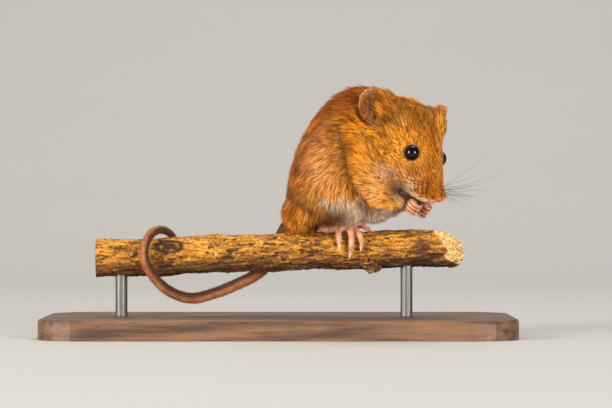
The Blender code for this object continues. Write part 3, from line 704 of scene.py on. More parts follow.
def skin_material():
    """The skin under the coat, in the colours of the coat's lower half, rough with the roots of hairs, and
    bare where the piece's `bare` value says."""
    made, tree, shader = new_material("coat_skin", Roughness=0.8, Specular_IOR_Level=0.2)
    place = object_place(tree)
    tone = between(tree, noise(tree, place, 2.5), 0.3, 0.7, 0.3, 0.75)
    masks = {key: value_of(tree, key.lower()) for key in ("Rust", "Cream", "Shade", "Along")}
    colour = use_group(tree, COAT, Tone=tone, **masks)["Colour"]
    bare = blend(tree, noise(tree, place, 1.2), (0.50, 0.20, 0.14), (0.66, 0.33, 0.25))
    set_colour(tree, shader, blend(tree, value_of(tree, "bare"), colour, bare))
    set_bump(tree, shader, noise(tree, place, 5.0), 0.12)
    return made


def flesh_material(name, dark, light, roughness, scale=1.0, depth=0.35):
    """Bare skin: two colours by noise, finely wrinkled, and `depth` times its dark colour as painted shade,
    where the piece's own value of painted shade says."""
    made, tree, shader = new_material(
        name, Subsurface_Weight=0.15, Subsurface_Scale=0.0004, Subsurface_Radius=(1.0, 0.35, 0.2),
        Specular_IOR_Level=0.3,
    )
    place = object_place(tree)
    colour = blend(tree, between(tree, noise(tree, place, 0.9 * scale), 0.3, 0.7), dark, light)
    deep = tuple(depth * c for c in dark)
    set_colour(tree, shader, blend(tree, value_of(tree, "deep"), colour, deep))
    set_roughness(tree, shader, 4.0, roughness, 0.3)
    set_bump(tree, shader, noise(tree, place, 7.0 * scale, 4.0), 0.06)
    return made


def hair_material(name, root, tip, roughness=0.5):
    """Fine hair: from one colour at the root to another at the tip, darker or lighter by its tone."""
    made, tree, shader = new_material(name, Roughness=roughness, Specular_IOR_Level=0.15)
    colour = blend(tree, value_of(tree, "along"), root, tip)
    lift = between(tree, value_of(tree, "tone"), 0.0, 1.0, 0.3, 1.25)
    set_colour(tree, shader, blend(tree, 1.0, colour, grey(tree, lift), "MULTIPLY"))
    return made


def eye_material():
    """The wet black of the eye, very slightly brown in places."""
    made, tree, shader = new_material("eye_black", IOR=1.38, Specular_IOR_Level=0.48)
    brown = (0.004, 0.002, 0.0015)
    colour = blend(tree, noise(tree, object_place(tree), 0.7), (0.001, 0.0008, 0.0008), brown)
    set_colour(tree, shader, colour)
    set_roughness(tree, shader, 0.8, 0.05, 0.02)
    return made


def bark_material():
    """Weathered bark: gold streaks along the branch, dark patches, flecks and fine specks, darker by the
    piece's own value of painted shade and darker marks, and fresh pale wood where its `wood` value says."""
    made, tree, shader = new_material("bark", Specular_IOR_Level=0.3)
    drawn = noise(tree, object_place(tree, (0.30, 1.5, 1.5)), 1.0, 5.0, 0.65)
    flecks = noise(tree, object_place(tree, (0.6, 1.6, 1.6)), 1.0, 2.0)
    specks = noise(tree, object_place(tree, (2.2, 3.6, 3.6)), 1.0, 2.0)
    patches = noise(tree, object_place(tree, (0.18, 0.4, 0.4)), 1.0, 7.0, 0.75)
    colour = blend(tree, between(tree, drawn, 0.34, 0.66), (0.18, 0.055, 0.007), (0.76, 0.34, 0.032))
    #   a noise, where its mark starts and is full, and the mark's colour
    for marks, start, full, mark in (
        (patches, 0.51, 0.65, (0.14, 0.045, 0.010)),
        (flecks, 0.42, 0.33, (0.035, 0.011, 0.004)),
        (specks, 0.42, 0.32, (0.06, 0.02, 0.007)),
        (specks, 0.60, 0.72, (0.78, 0.42, 0.09)),
    ):
        colour = blend(tree, between(tree, marks, start, full), colour, mark)
    colour = blend(tree, value_of(tree, "deep"), colour, (0.05, 0.018, 0.009))
    fresh = blend(tree, between(tree, specks, 0.32, 0.62), (0.42, 0.18, 0.04), (0.92, 0.66, 0.28))
    set_colour(tree, shader, blend(tree, value_of(tree, "wood"), colour, fresh))
    set_roughness(tree, shader, 1.5, 0.78, 0.3)
    set_bump(tree, shader, calc(tree, "ADD", drawn, specks), 0.3)
    return made


def stand_wood_material():
    """Satin walnut: growth lines along the plate, bent by noise, and fine pores."""
    made, tree, shader = new_material("stand_wood", Coat_Weight=0.06, Coat_Roughness=0.4)
    lines = noise(tree, object_place(tree, (0.012, 0.16, 0.16)), 4.0, 6.0, 0.6)
    pores = noise(tree, object_place(tree, (0.25, 4.0, 4.0)), 1.0, 2.0)
    colour = blend(tree, between(tree, lines, 0.32, 0.68), (0.055, 0.024, 0.011), (0.19, 0.09, 0.042))
    colour = blend(tree, between(tree, pores, 0.36, 0.28), colour, (0.03, 0.013, 0.007))
    set_colour(tree, shader, colour)
    set_roughness(tree, shader, 0.6, 0.55, 0.2)
    set_bump(tree, shader, pores, 0.03, 0.6)
    return made


def steel_material():
    """Brushed steel, its fine lines running up the rod."""
    made, tree, shader = new_material("stand_steel", Metallic=1.0)
    brushed = noise(tree, object_place(tree, (6.0, 6.0, 0.4)), 1.0, 4.0)
    set_colour(tree, shader, blend(tree, brushed, (0.13, 0.13, 0.125), (0.20, 0.195, 0.19)))
    tree.links.new(between(tree, brushed, 0.2, 0.8, 0.45, 0.6), shader.inputs["Roughness"])
    set_bump(tree, shader, brushed, 0.01, 0.5)
    return made


# Markings, as masks of place

HEAD_MIDDLE, HEAD_REACH = (-2.0, 0.0, -1.0), (12.0, 8.6, 7.8)
#   length along the body, and how high the cream of the belly reaches there
BELLY_LINE = ((7.0, 9.0, 12.2, 13.8, 19.2, 24.2, 27.0), (27.0, 28.2, 29.2, 28.2, 26.8, 25.4, 25.0))
#   the middle and the radii of a soft spot, in the head's axes
EAR_FRINGE = ((-5.6, 5.0, 2.6), (2.2, 1.8, 2.2))
EAR_NOTCH = ((-6.2, 6.2, 0.4), (1.3, 1.6, 1.3))
MUZZLE = ((6.9, 1.3, -2.9), (2.6, 2.6, 2.2))
BELOW_EYE = ((3.4, 3.8, -2.0), (1.9, 1.8, 1.1))
PAD = ((6.9, 2.2, -3.2), (1.8, 2.2, 1.8))
LIP = ((5.2, 4.0, -4.1), (1.7, 0.9, 0.9))
BROW = ((-3.6, 5.6, 5.2), (3.4, 2.6, 2.8))
MOUTH = ((6.0, 0.0, -6.2), (2.2, 2.6, 0.8))
#   and elsewhere
NAPE = ((13.5, 0.0, 47.5), (6.5, 9.0, 5.0))
SHOULDER = ((17.0, -8.0, 38.5), (6.5, 9.0, 6.0))
CHEEK = ((21.4, -9.0, 32.0), (2.4, 6.0, 1.7))
FOREARM = ((19.0, -12.0, 28.6), (3.6, 5.0, 2.4))
THROAT = ((21.6, -8.0, 31.5), (3.4, 5.0, 3.4))
MOUTH_CORNER = ((23.2, -9.0, 28.8), (1.9, 7.0, 2.2))
THIGH = ((7.4, 0.0, 26.2), (2.8, 30.0, 3.4))
RUMP = ((3.0, 0.0, 24.0), (5.0, 14.0, 6.0))
RUMP_HEM = ((4.6, 0.0, 21.2), (4.4, 9.0, 2.2))
FLANK = ((9.5, -9.0, 34.5), (3.6, 9.0, 6.5))
#   lines on the side of the body
HEEL_GAP = ((11.6, 0.0, 25.8), (9.6, 0.0, 25.2), (8.4, 0.0, 23.4), (7.8, 0.0, 20.4))
RUMP_CREASE = ((3.2, 0.0, 30.4), (4.8, 0.0, 28.4), (6.6, 0.0, 27.0), (8.4, 0.0, 26.0))
FOLD = ((12.6, 0.0, 41.5), (13.5, 0.0, 37.2), (14.2, 0.0, 33.2), (15.4, 0.0, 29.8), (17.2, 0.0, 27.6))
#   lines in the head's axes
SNOUT_RIDGE = ((1.5, 0.0, 2.6), (3.5, 0.0, 1.3), (5.6, 0.0, -0.6))
SNOUT_EDGE = ((3.6, 1.7, 0.6), (5.6, 1.5, -0.9), (7.0, 1.3, -2.2))
EYE_CORNER_GROOVE = ((2.0, 3.6, -0.9), (3.0, 3.2, -1.7), (4.0, 2.8, -2.3))
#   a spot and how strong its mark is
PALE_SPOTS = ((CHEEK, 0.5), (FOREARM, 0.2), (FLANK, 0.2))
# painted shade at the notch under the ear and at the mouth, and darker fur below the eye
SHADED_ON_HEAD = ((BELOW_EYE, 0.6), (EAR_NOTCH, 0.95), (MOUTH, 0.75))
# painted shade in the groove from the eye's front corner and along the edge of the snout, and darker fur
# along its ridge
#   a line on the head, its width and how strong its mark is
HEAD_LINES = ((EYE_CORNER_GROOVE, 0.24, 0.85), (SNOUT_EDGE, 0.45, 0.35), (SNOUT_RIDGE, 0.7, 0.2))

# Whiskers, in rows that run down the pad towards the lip, and the way in which they leave it
WHISKER_ROWS, ROW_LENGTH = 4, 5
WHISKER_LENGTHS = (5.0, 3.1)  # of the foremost one of a row, and how much more each next one has
WHISKER_MOUND = ((-0.15, 0.24), (0.05, 0.24), (0.22, 0.16), (0.32, 0.06))  # height and radius
ROOT_SEARCH = 0.3  # how far from its line the point of the skin may lie that a whisker leaves from
PAD_OUTWARDS = (0.55, 0.80, 0.2)


def soft_spot(points, spot):
    """exp(-distance²) from a spot's middle, the distance measured in the spot's own radii."""
    middle, radii = np.array(spot)
    return np.exp(-(((points - middle) / radii) ** 2).sum(1))


def in_fold(points, width):
    """How near a point is to the fold between the shoulder and the flank, on either side of the body."""
    return near_line(points * (1, 0, 1), FOLD, width) * step(3.0, 6.0, np.abs(points[:, 1]))


def head_share(points):
    """1 on the head, falling to 0 behind it and below it."""
    return step(1.35, 1.0, np.linalg.norm((to_head(points) - HEAD_MIDDLE) / HEAD_REACH, axis=1))


def whisker_roots():
    """The roots of the whiskers for each row and each place in it, in the head's axes."""
    row, place = np.indices((WHISKER_ROWS, ROW_LENGTH))
    out = 1.35 + 0.78 * row
    return np.stack([6.1 - 0.4 * row + 0.36 * place, out, -1.9 - 0.3 * row - 0.33 * place], -1)


def rust_mark(points, normals, wobble):
    """Rust covers the back, the rump, the nape, the crown and the muzzle."""
    folded = folded_head(points)
    f, _, u = folded.T
    back = step(0.15, 0.95, normals[:, 2] * 0.85 - normals[:, 0] * 0.8 + 0.15 * wobble)
    body = 0.8 * back * step(18.0, 34.0, points[:, 2]) + 0.4 * soft_spot(points, RUMP)
    muzzle = 0.95 * soft_spot(folded, MUZZLE) * step(-5.7, -4.6, u)
    crown = 0.75 * step(-1.0, 4.5, u + 0.3 * f) * (1 - soft_spot(folded, EAR_FRINGE))
    return mixed(body, muzzle + crown, head_share(points)) + soft_spot(points, NAPE)


def cream_mark(points, normals, wobble, strands):
    """Cream covers the belly, the chin and the lips and, thinly, the cheek, the forearm and the flank."""
    x, y, z = points.T
    folded = folded_head(points)
    f, l, u = folded.T
    on_head = head_share(points)
    top = np.interp(x, *BELLY_LINE) + 0.4 * wobble + 0.9 * strands
    inside = step(8.6, 10.8, x - 0.55 * (28 - z) + 0.4 * wobble + 0.5 * strands) * (1 - on_head)
    inside = inside * (1 - step(9.0, 9.8, np.abs(y)) * step(14.0, 16.0, x))
    belly = step(top + 0.9, top - 0.7, z) * inside
    under = step(0.45, 0.85, -normals[:, 2]) * step(top + 4, top + 2, z) * inside
    chin = on_head * step(-5.9, -6.7, u + 0.15 * wobble) * step(-5.0, -2.0, f) * step(4.6, 3.0, l)
    lips = on_head * step(-4.7, -5.3, u - 0.6 * step(6.5, 7.5, f)) * step(3.0, 5.5, f) * 0.9
    marks = [belly, under, chin, lips, soft_spot(folded, LIP) * 0.65]
    for place in (points, mirrored(points)):
        marks += [soft_spot(place, spot) * strength for spot, strength in PALE_SPOTS]
    return np.maximum.reduce(marks) + 0.12 * wobble * (belly > 0.05)


def shade_mark(points, strands):
    """Painted shade lies in the folds of the flank and the rump, round the heel, on the nape, under the ear,
    in the groove from the eye's front corner, along the edge of the snout, at the mouth and at its corners.
    The same mask darkens the fur over the thigh, below the eye, along the ridge of the snout and down the
    first two rows of whiskers."""
    folded, level = folded_head(points), points * (1, 0, 1)
    marks = [
        near_line(level, HEEL_GAP, 1.9) * 1.1,
        near_line(level, RUMP_CREASE, 1.4 + 0.4 * strands) * 0.75,
        in_fold(points, 1.6 + 0.4 * strands) * 0.79,
        soft_spot(points, NAPE) * 0.25,
        soft_spot(points, THIGH) * 0.45,
        soft_spot(points, MOUTH_CORNER) * 0.9,
        soft_spot(mirrored(points), MOUTH_CORNER) * 0.9,
    ]
    marks += [soft_spot(folded, spot) * strength for spot, strength in SHADED_ON_HEAD]
    marks += [near_line(folded, line, width) * strength for line, width, strength in HEAD_LINES]
    through = np.array(((-0.9,), (0.9,))) * unit(np.array(PAD_OUTWARDS))
    for row in whisker_roots()[:2]:
        marks.append(near_line(folded, (row[:, None] + through).reshape(-1, 3), 0.24) * 0.7)
    return np.maximum.reduce(marks)


def markings(points, normals):
    """Rust, cream and shade at places on the coat, each from 0 to 1."""
    wobble = waves(points, 5.0, 11) * 0.7 + waves(points, 1.6, 12) * 0.35
    strands = waves(points * (1.0, 1.0, 0.22), 0.8, 13)
    marks = (
        rust_mark(points, normals, wobble),
        cream_mark(points, normals, wobble, strands),
        shade_mark(points, strands),
    )
    return [np.clip(mark, 0, 1) for mark in marks]


# Skin


def coat_depth(points):
    """How far the skin lies under the tips of the coat: deep on the body, thin on the face and wrists."""
    head = to_head(points)
    on_head = step(16.0, 11.0, np.linalg.norm(head - HEAD_MIDDLE, axis=1))
    on_face = mixed(BACK_OF_HEAD_DEPTH, FACE_DEPTH, step(-9.0, 5.5, head[:, 0]))
    depth = mixed(COAT_DEPTH, on_face, on_head)
    for side in SIDES.values():
        wrist = np.linalg.norm(points - from_head(WRIST, side), axis=1)
        depth = mixed(WRIST_DEPTH, depth, step(0.5, 7.5, wrist))
    return depth


def sculpted(points, faces):
    """The skin with the coat's depth taken off, the fold behind the shoulder and the brow pressed in, the
    throat smoothed and the place of each eye hollowed under its eyeball."""
    normals = unit(relaxed(normals_of(points, faces), faces, 4))
    points = points - normals * (coat_depth(points) + SKIN_SWELL)[:, None]
    pressed = in_fold(points, 1.6) * 0.7 + soft_spot(folded_head(points), BROW) * 0.8
    points = relaxed(points - normals * pressed[:, None], faces, 3)
    throat = np.maximum(soft_spot(points, THROAT), soft_spot(mirrored(points), THROAT))
    points = relaxed(points, faces, 70, np.clip(throat * 1.6, 0, 0.9))
    for word, side in SIDES.items():
        arm = points - EYES[word]
        reach = np.linalg.norm(arm, axis=1)
        level = np.clip(arm @ way_from_head(EYE_OUTWARDS, side) / reach, -1, 1)
        hollow = step(LID_OPENING + 14, LID_OPENING, np.degrees(np.arccos(level))) * step(3.2, 2.6, reach)
        points = EYES[word] + arm * mixed(1.0, (EYE_RADIUS - 0.35) / reach, hollow)[:, None]
    return points


def make_skin():
    """The skin under the coat, and what the coat grows from."""
    points, faces = surface_round(FLESH + ("eye_right", "eye_left"), SKIN_SWELL, SKIN_VOXEL, SKIN_ROUNDS)
    points = sculpted(points, faces)
    normals = normals_of(points, faces)
    rust, cream, shade = markings(points, normals)
    bare = step(7.9, 8.6, to_head(points)[:, 0])
    make_piece(
        "skin", of_quads(points, faces), skin_material(), "fur", FLESH,
        rust=rust, cream=cream, shade=shade, bare=bare, along=SKIN_ALONG,
    )
    return points, faces, normals


# Coat

#   for the body, the head and the face
TUFT_DENSITY = (74.0, 110.0, 165.0)  # tufts to a square millimetre
TUFT_LENGTH = (2.7, 2.1, 1.4)
TUFT_WIDTH = (0.13, 0.115, 0.095)
CLUMP_SIZE = (0.5, 0.35, 0.25)
#   for the body and the head
CLUMP_STRENGTH = (0.35, 0.2)
LIE_SPREAD = (0.15, 0.08)
STREAK_SIZE = (0.85, 0.46)
STREAK_CONTRAST = (0.14, 0.19)
DARK_HAIRS = (0.11, 0.19)  # share of the tufts that end dark brown
#   for the whole coat
PALE_HAIRS = 0.08  # share of the tufts that are paler than the rest
CLUMP_WAVE = 3.0  # how long the bends of the grid of clumps are
#   how far along a tuft each of its points lies, from its root to its tip, and how large it is on the map
ALONG = np.array((0.0, 0.42, 0.42, 0.42, 1.0))
PATCH = 0.003
#   a region's unwrap turns about an axis this share of the way from the region to the body's middle, and
#   a root lies this share of its distance from the axis higher on it
BODY_MIDDLE, UNWRAP_INWARDS, UNWRAP_LEAN = (14.0, -1.0, 33.0), 0.45, 0.35
EYE_CLEAR, WRIST_CLEAR = EYE_RADIUS + 0.16, 0.7
WHISKER_CLEAR = 0.26  # a tuft that passes nearer to a whisker's root covers it


def by_region(values, on_head, face):
    """A number for the body, the head and the face, mixed by how far a place is on the head and its face."""
    body, head, front = values
    return mixed(mixed(body, head, on_head), front, face)


def scatter(points, faces, density, rng):
    """Random places on a surface, about `density` to a square millimetre at each point. Faces are drawn by
    their area times their density, and a place inside a face by random weights folded back into it. Gives
    the three points of each place's triangle and their weights."""
    tris = faces if faces.shape[1] == 3 else as_tris(faces)
    a, b, c = (points[tris[:, k]] for k in (0, 1, 2))
    share = np.linalg.norm(np.cross(b - a, c - a), axis=1) / 2 * density[tris].mean(1)
    total = np.cumsum(share)
    picked = np.searchsorted(total, rng.uniform(0, total[-1], int(total[-1])))
    weights = rng.uniform(size=(len(picked), 2))
    over = weights.sum(1) > 1
    weights[over] = 1 - weights[over]
    return tris[picked], np.column_stack([1 - weights.sum(1), weights])


def at_places(values, corners, weights):
    """Values of the points brought to scattered places."""
    shape = weights if values.ndim == 1 else weights[..., None]
    return (values[corners] * shape).sum(1)


def scattered(points, faces, normals, density, rng, *values):
    """Random roots on a surface, their normals, and given values of the points brought to them."""
    corners, weights = scatter(points, faces, density, rng)
    root, normal, *others = (at_places(v, corners, weights) for v in (points, normals, *values))
    return root, unit(normal), *others


def body_lie(points):
    """The way of the hairs on the body: the guides' ways, each weighted by 1 / (distance² + 2)²."""
    guides = np.array(LIE)
    apart = ((points[:, None, [0, 2]] - guides[None, :, :2]) ** 2).sum(2)
    weight = 1 / (apart + 2) ** 2
    way = (weight @ guides[:, 2:]) / weight.sum(1)[:, None]
    return np.column_stack([way[:, 0], 0 * way[:, 0], way[:, 1]])


def coat_lie(points, normals):
    """The way of the hairs: on the head away from the nose and round the eyes, behind it as on the body, and
    always along the skin."""
    head = to_head(points)
    on_head = step(-10.0, -4.5, head[:, 0]) * step(15.0, 12.0, np.linalg.norm(head, axis=1))
    away = unit(points - from_head(NOSE_TIP))
    for word in SIDES:
        arm = points - EYES[word]
        away = away + unit(arm) * (1.3 * step(3.8, 1.8, np.linalg.norm(arm, axis=1)))[:, None]
    return flattened(mixed(body_lie(points), unit(away), on_head[:, None]), normals)


# Regions of the coat, each a piece: a place inside it, and how far it reaches in each direction
REGIONS = {
    "coat_face_right": ((29.0, -12.5, 31.5), (6.5, 6.5, 7.5)),
    "coat_face_left": ((33.0, -7.0, 32.0), (6.5, 6.5, 7.5)),
    "coat_crown_right": ((21.5, -7.0, 42.0), (6.5, 6.5, 6.0)),
    "coat_crown_left": ((27.0, 0.0, 42.0), (6.5, 6.5, 6.0)),
    "coat_cheek_right": ((23.0, -9.0, 34.0), (6.0, 6.0, 6.0)),
    "coat_cheek_left": ((29.0, 1.0, 36.0), (6.0, 6.0, 6.0)),
    "coat_nape": ((15.5, -1.0, 44.0), (6.5, 6.5, 6.0)),
    "coat_back": ((6.5, 0.0, 39.5), (6.0, 9.0, 6.5)),
    "coat_rump": ((2.5, 0.0, 28.0), (5.5, 9.0, 9.0)),
    "coat_flank_right": ((10.5, -10.0, 34.0), (6.5, 6.5, 7.0)),
    "coat_flank_left": ((10.5, 10.0, 34.0), (6.5, 6.5, 7.0)),
    "coat_thigh_right": ((11.0, -9.0, 25.5), (7.0, 5.5, 5.5)),
    "coat_thigh_left": ((11.0, 9.0, 25.5), (7.0, 5.5, 5.5)),
    "coat_arm_right": ((19.0, -10.0, 28.0), (6.0, 5.0, 6.5)),
    "coat_arm_left": ((19.5, 7.5, 30.0), (6.0, 6.0, 7.5)),
    "coat_belly": ((15.5, 0.0, 23.5), (8.0, 7.0, 6.0)),
}


def on_map(shares):
    """Places on the map from shares of its width and height, with a little room at its edges."""
    return 0.02 + 0.96 * shares


def fitted(places):
    """Places stretched over the whole map."""
    low, high = places.min(0), places.max(0)
    return on_map((places - low) / (high - low))


def unwrapped(roots, middle):
    """Roots on an unwrap of their own part of the skin: across, the angle about an upright axis inside the
    part, counted from its outward side, and up, the height and a share of the distance from the axis."""
    arm = roots - mixed(middle, np.array(BODY_MIDDLE), UNWRAP_INWARDS)
    facing = arm.mean(0)
    angle = np.arctan2(arm[:, 1], arm[:, 0]) - math.atan2(facing[1], facing[0])
    angle = (angle + np.pi) % (2 * np.pi) - np.pi
    height = arm[:, 2] + UNWRAP_LEAN * np.linalg.norm(arm[:, :2], axis=1)
    return fitted(np.column_stack([angle, height]))


def tuft_form(coat):
    """Spindles with a bend: a point sunk at the root, a ring of three where the tuft is widest, and the tip.
    The tip lies a length along the lie and a height off the skin, drawn towards its clump's tip, and the
    ring 0.4 of the way. The way across a tuft is at right angles to its lie and to the skin."""
    root, normal, lie = coat["root"], coat["normal"], coat["lie"]
    across = np.cross(normal, lie)
    numbers = ("length", "height", "width", "bend", "clump")
    length, height, width, bend, clump = (coat[key][:, None] for key in numbers)
    middle = root + lie * length * 0.4 + normal * height * 0.6 + across * bend * 0.3
    tip = root + lie * length * 0.97 + normal * height + across * bend
    tip = mixed(tip, coat["clump_tip"], clump)
    pulled = mixed(root, coat["clump_tip"], 0.4) + normal * height * 0.2
    middle = mixed(middle, pulled, clump * 0.4)
    up = flattened(normal, unit(tip - root))
    corners = ((-0.5, 0.0), (0.5, 0.0), (0.0, 0.42))
    ring = [middle + (across * side + up * lift) * width for side, lift in corners]
    points = np.stack([root - normal * 0.1, *ring, tip], 1)
    start = np.arange(len(root))[:, None, None] * len(ALONG)
    tris = np.array(((0, 2, 1), (0, 3, 2), (0, 1, 3), (4, 1, 2), (4, 2, 3), (4, 3, 1)))
    return points.reshape(-1, 3), np.empty((0, 4), int), (start + tris).reshape(-1, 3)


def tuft_patches(places):
    """Each tuft's points on a small patch of the map, root to tip, at its root's place."""
    spread = np.array(((0.0, 0.0), (-0.5, 0.5), (0.5, 0.5), (0.0, 0.6), (0.0, 1.0)))
    return (places[:, None] + spread * PATCH).reshape(-1, 2)


def free_tufts(root, normal, lie, length, **more):
    """A coat of tufts that stand apart from each other."""
    alone = {"clump_tip": root, "clump": np.zeros(len(root))}
    return {"root": root, "normal": normal, "lie": lie, "length": length, **alone, **more}


def clumped(coat, size, strength, rng):
    """Draws the tips of neighbouring tufts together. Roots share a clump by the cell of a wavy grid that
    they lie in, and a clump's tip is the mean of its tufts' own tips. Gives each tuft its clump's tone."""
    stray = np.stack([waves(coat["root"], CLUMP_WAVE, s) for s in (21, 22, 23)], 1)
    cells = np.floor(coat["root"] / size[:, None] + 0.4 * stray).astype(np.int64)
    clump = np.unique(cells, axis=0, return_inverse=True)[1].ravel()
    tip = coat["root"] + coat["lie"] * coat["length"][:, None] + coat["normal"] * coat["height"][:, None]
    count = np.bincount(clump)[:, None]
    mean = np.stack([np.bincount(clump, tip[:, k]) for k in range(3)], 1) / count
    coat["clump_tip"] = mean[clump]
    coat["clump"] = strength * rng.uniform(0.3, 1.0, len(clump))
    return rng.normal(0, 1, len(count))[clump]


def make_tufts(name, coat, places, finish, slot):
    """A coat piece from tufts, with a place on the map for each."""
    marks = [key for key in ("tone", "rust", "cream", "shade") if key in coat]
    values = {key: np.repeat(coat[key], len(ALONG)) for key in marks}
    share = np.tile(ALONG, len(places))
    obj = make_piece(name, tuft_form(coat), finish, slot, flat=True, along=share, **values)
    set_patches(obj, tuft_patches(places))


def chosen(coat, which):
    """The coat of some of the tufts."""
    return {key: value[which] for key, value in coat.items()}


def room_to_whiskers(root, lie, whiskers):
    """How far each root's tuft may reach before it covers the root of a whisker."""
    room = np.full(len(root), 9.0)
    for place in whiskers:
        near = np.flatnonzero(np.abs(root - place).max(1) < 2.6)
        arm = place - root[near]
        ahead = (arm * lie[near]).sum(1)
        covers = (ahead > -0.1) & (np.linalg.norm(np.cross(arm, lie[near]), axis=1) < WHISKER_CLEAR)
        room[near[covers]] = np.minimum(room[near[covers]], np.maximum(ahead[covers] - 0.1, 0.25))
    return room


def coat_roots(points, faces, normals, rng):
    """Where the tufts grow: all over the skin but on the nose, the eyes and the wrists."""
    on_head = head_share(points)
    face = on_head * step(-7.0, 3.0, to_head(points)[:, 0])
    density = by_region(TUFT_DENSITY, on_head, face)
    root, normal, face, on_head = scattered(points, faces, normals, density, rng, face, on_head)
    kept = step(8.5, 8.1, to_head(root)[:, 0]) > rng.uniform(size=len(root))
    for word, side in SIDES.items():
        kept &= np.linalg.norm(root - EYES[word], axis=1) > EYE_CLEAR
        kept &= np.linalg.norm(root - from_head(WRIST, side), axis=1) > WRIST_CLEAR
    return chosen({"root": root, "normal": normal, "face": face, "on_head": on_head}, kept)


def shape_coat(coat, whiskers, rng):
    """The lie, the size and the bend of the tufts. They are short round the eyes and where the coat is thin,
    long before the ears and under the rump, and the dark ones are larger than the rest."""
    root, normal, face, on_head = (coat[key] for key in ("root", "normal", "face", "on_head"))
    count = len(root)
    smooth_lie = coat_lie(root, normal)
    spread = rng.normal(0, 1, (count, 3)) * mixed(*LIE_SPREAD, on_head)[:, None]
    coat["lie"] = flattened(smooth_lie + spread, normal)
    coat["streak"] = streaks(root, smooth_lie, mixed(*STREAK_SIZE, on_head), 32)
    depth = coat_depth(root)
    off_eyes = step(1.6, 4.5, np.min([np.linalg.norm(root - EYES[word], axis=1) for word in SIDES], axis=0))
    length = by_region(TUFT_LENGTH, on_head, face) * mixed(0.38, 1.0, off_eyes)
    length *= mixed(0.55, 1.0, step(0.2, 0.7, depth))
    length = np.minimum(length, room_to_whiskers(root, smooth_lie, whiskers))
    coat["length"] = length * rng.uniform(0.7, 1.2, count)
    coat["height"] = depth * mixed(0.6, 1.0, off_eyes) * rng.uniform(0.35, 1.15, count)
    coat["width"] = by_region(TUFT_WIDTH, on_head, face) * rng.uniform(0.7, 1.35, count)
    fringe, hem = soft_spot(folded_head(root), EAR_FRINGE), soft_spot(root, RUMP_HEM)
    coat["length"] *= 1 + 0.9 * fringe + 0.8 * hem
    coat["height"] += 0.5 * fringe + 0.45 * soft_spot(root, NAPE) + 0.5 * hem
    share = mixed(*DARK_HAIRS, on_head) * np.clip(1 - 1.5 * coat["streak"], 0, 3) + 0.08 * fringe
    coat["dark"] = rng.uniform(size=count) < share
    for key, larger in (("width", 1.25), ("length", 1.15), ("height", 1.2)):
        coat[key][coat["dark"]] *= larger
    coat["bend"] = coat["length"] * rng.normal(0, 0.07, count)
    size = by_region(CLUMP_SIZE, on_head > 0.5, face > 0.5)
    coat["clump_tone"] = clumped(coat, size, mixed(*CLUMP_STRENGTH, on_head), rng)


def colour_coat(coat, rng):
    """The tone of the tufts, by clump, at random, in streaks and by place, and their markings."""
    root, on_head = coat["root"], coat["on_head"]
    count = len(root)
    contrast = mixed(*STREAK_CONTRAST, on_head) * step(17.5, 23.0, root[:, 2]) + 0.08 * soft_spot(root, RUMP)
    tone = 0.60 + 0.07 * coat["clump_tone"] + 0.16 * rng.normal(size=count) + contrast * coat["streak"]
    tone = tone + 0.07 * waves(root, 4.5, 31) + 0.09 * soft_spot(root, SHOULDER)
    for side in SIDES.values():
        tone = tone + 0.42 * soft_spot(to_head(root) * (1, side, 1), PAD)
    tone = np.where(coat["dark"], rng.uniform(0, 0.15, count), tone)
    coat["rust"], coat["cream"], coat["shade"] = markings(root, coat["normal"])
    coat["tone"] = np.clip(mixed(tone, 1.15 * tone - 0.14, coat["cream"]), 0, 1)
    share = PALE_HAIRS * (1 - soft_spot(root, SHOULDER)) * (1 - coat["rust"]) ** 2
    coat["cream"] = np.maximum(coat["cream"], 0.45 * (rng.uniform(size=count) < share))


def make_coat(points, faces, normals, whiskers):
    """The coat over the whole skin, made in regions: a tuft belongs to the one nearest to its root, the
    distance measured in the region's own reaches."""
    rng = np.random.default_rng(SEED)
    coat = coat_roots(points, faces, normals, rng)
    shape_coat(coat, whiskers, rng)
    colour_coat(coat, rng)
    middles, reaches = np.array(list(REGIONS.values())).transpose(1, 0, 2)
    region = (((coat["root"][:, None] - middles) / reaches) ** 2).sum(2).argmin(1)
    for i, (name, middle) in enumerate(zip(REGIONS, middles)):
        part = chosen(coat, region == i)
        make_tufts(name, part, unwrapped(part["root"], middle), FUR, "fur")


# Eyes, lids, nose and whiskers


def make_eyes():
    """Glossy round eyes and, round each, the lids: a rim along an almond loop on the ball, whose angle from
    the middle of the eye widens towards its corners."""
    black = eye_material()
    rim = flesh_material("lid_skin", (0.035, 0.018, 0.014), (0.13, 0.085, 0.07), 0.4, 2.0)
    angle = np.linspace(0, 2 * np.pi, 72, endpoint=False)[:, None]
    turn = np.linspace(0, 2 * np.pi, 12, endpoint=False)[:, None]
    opening = np.radians(LID_OPENING + LID_CORNER * np.cos(2 * angle))
    thick = (LID_THICKNESS + 0.02 * np.cos(2 * angle))[:, None]
    for word, side in SIDES.items():
        outwards = way_from_head(EYE_OUTWARDS, side)
        corner = way_from_head(EYE_CORNER, side)
        corner = unit(corner - outwards * (corner @ outwards))
        axes = np.stack([corner, np.cross(outwards, corner), outwards])
        form = ball(EYES[word], (EYE_RADIUS,) * 3, axes)
        make_piece(f"eyeball_{word}", form, black, "eye", (f"eye_{word}",))
        ring = np.cos(angle) * axes[0] + np.sin(angle) * axes[1]
        ways = np.cos(opening) * outwards + np.sin(opening) * ring
        away = unit(np.cross(np.cross(ways, outwards), ways))
        reach = EYE_RADIUS + LID_LIFT + thick * 0.9 * np.sin(turn)
        rings = EYES[word] + ways[:, None] * reach - away[:, None] * (thick * 1.15 * np.cos(turn))
        make_piece(f"lids_{word}", looped_rings(rings), rim, "bare_skin", deep=0.0)


